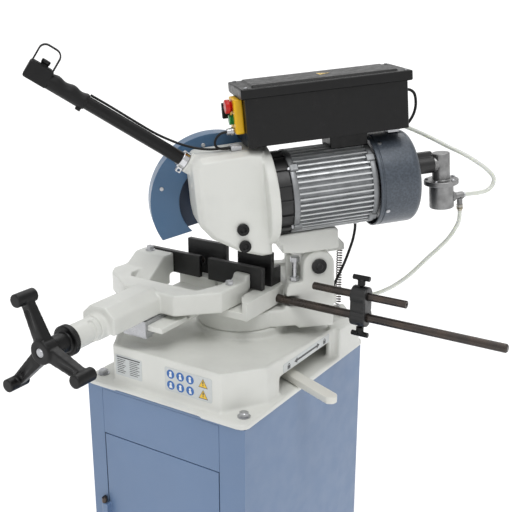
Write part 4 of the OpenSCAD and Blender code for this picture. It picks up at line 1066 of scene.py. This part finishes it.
# Screws round the guard's rim, handwheel screw and knurled collar
guardLow, guardHigh = spanMm("blade_guard", head)
arborAt = (head.inverted() @ jointPlace("spindle_spin")) / mm
guardRim = guardHigh[2] - arborAt.z
guardScrews = {"inset": 20, "angles": (100, 130, 160)}
screwRing = guardRim - guardScrews["inset"]
bolted("guardScrews", "head", "steel",
       [((guardHigh[0], arborAt.y + screwRing * math.cos(math.radians(a)),
          arborAt.z + screwRing * math.sin(math.radians(a))), (1, 0, 0)) for a in guardScrews["angles"]],
       head, sides=20, radius=4.2, height=2.6, socket=2)
wheelAxis = jointPlace("handwheel_turn") / mm
wheelLow, wheelHigh = spanMm("handwheel")
knurl = {"count": 64, "radius": 30, "depth": 1.2, "width": 1.6, "length": 10.5, "fromRear": 7}
bolted("wheelScrew", "handwheel", "steel", [((wheelAxis.x, wheelLow[1] + 26.5, wheelAxis.z), (0, -1, 0))],
       sides=24, radius=8.6, height=7, socket=4)
knurlPlace = Matrix.Translation((wheelAxis.x * mm, (wheelHigh[1] - knurl["fromRear"]) * mm, wheelAxis.z * mm))
collar = grown("wheelCollarKnurl", fins, "black_iron", place=knurlPlace, count=knurl["count"],
               **{key: knurl[key] * mm for key in ("radius", "depth", "width", "length")})
finishPiece(collar, "handwheel", "black_iron")

# Screws of the rear jaws and the pump, barbs for the hoses
jawScrews = {"rear_jaw_left": (-105, -70), "rear_jaw_right": (22, 56)}
places = []
for jaw, xs in jawScrews.items():
    jawLow = spanMm(jaw)[0]
    places += [((x, jawLow[1] + 6, jawLow[2] + 30), (0, -1, 0)) for x in xs]
bolted("rearJawScrews", "base", "dark_steel", places, sides=24, radius=7, height=4.5, socket=3.4)
pumpLow, pumpHigh = spanMm("pump_body", head)
pumpX, pumpY = (pumpLow[0] + pumpHigh[0]) / 2, pumpLow[1] + 37
pumpScrews = {"ring": 31, "top": 154, "angles": (30, 102, 174, 246, 318)}
bolted("pumpScrews", "head", "steel",
       [((pumpX + pumpScrews["ring"] * math.cos(math.radians(a)),
          pumpY + pumpScrews["ring"] * math.sin(math.radians(a)), pumpScrews["top"]), (0, 0, 1))
        for a in pumpScrews["angles"]], head, sides=6, radius=3.6, height=3.5)
barbProfile = [(5.5, 0), (7.6, 0.5), (5.8, 4), (7.6, 4.5), (5.8, 8), (7.6, 8.5), (5.6, 12), (5.2, 14)]
barbs = bmesh.new()
for x, y, z, direction in ((pumpX, pumpY + 34, 112, (0, 1, 0)), (pumpX, pumpY + 42, 92, (0, 0, -1))):
    added(barbs, lathe([(r * mm, along * mm) for r, along in barbProfile], 28),
          Matrix.Translation(Vector((x, y, z)) * mm)
          @ Vector((0, 1, 0)).rotation_difference(Vector(direction)).to_matrix().to_4x4())
finishPiece(newPiece("hoseBarbs", barbs, head), "head", "steel", "brass")

# Painted shade: the inside faces of the guard get a darker blue that stands in for the shade inside it
guard = shapes["blade_guard"].data
guard.materials.append(materials["guardPaintedShade"])
toHead = head.inverted()
for face in guard.polygons:
    at = toHead @ face.center / mm
    normal = toHead.to_3x3() @ face.normal
    outwards = Vector((0, at.y - arborAt.y, at.z - arborAt.z))
    between = guardLow[0] + 1 < at.x < guardHigh[0] - 1
    # faces inside the guard, between its side plates, get the painted shade
    if between and (abs(normal.x) > 0.7 or (outwards.length < guardRim - 1 and normal.dot(outwards) < 0)):
        face.material_index = 1
print("screws and barbs made")

# CAD nodes that stay as they are
kept = {"worm_shaft": "steel", "motor_rotor": "steel"}
for nodeName, slot in kept.items():
    mesh = nodes[nodeName].data
    mesh.materials.clear()
    mesh.materials.append(materials[slot])
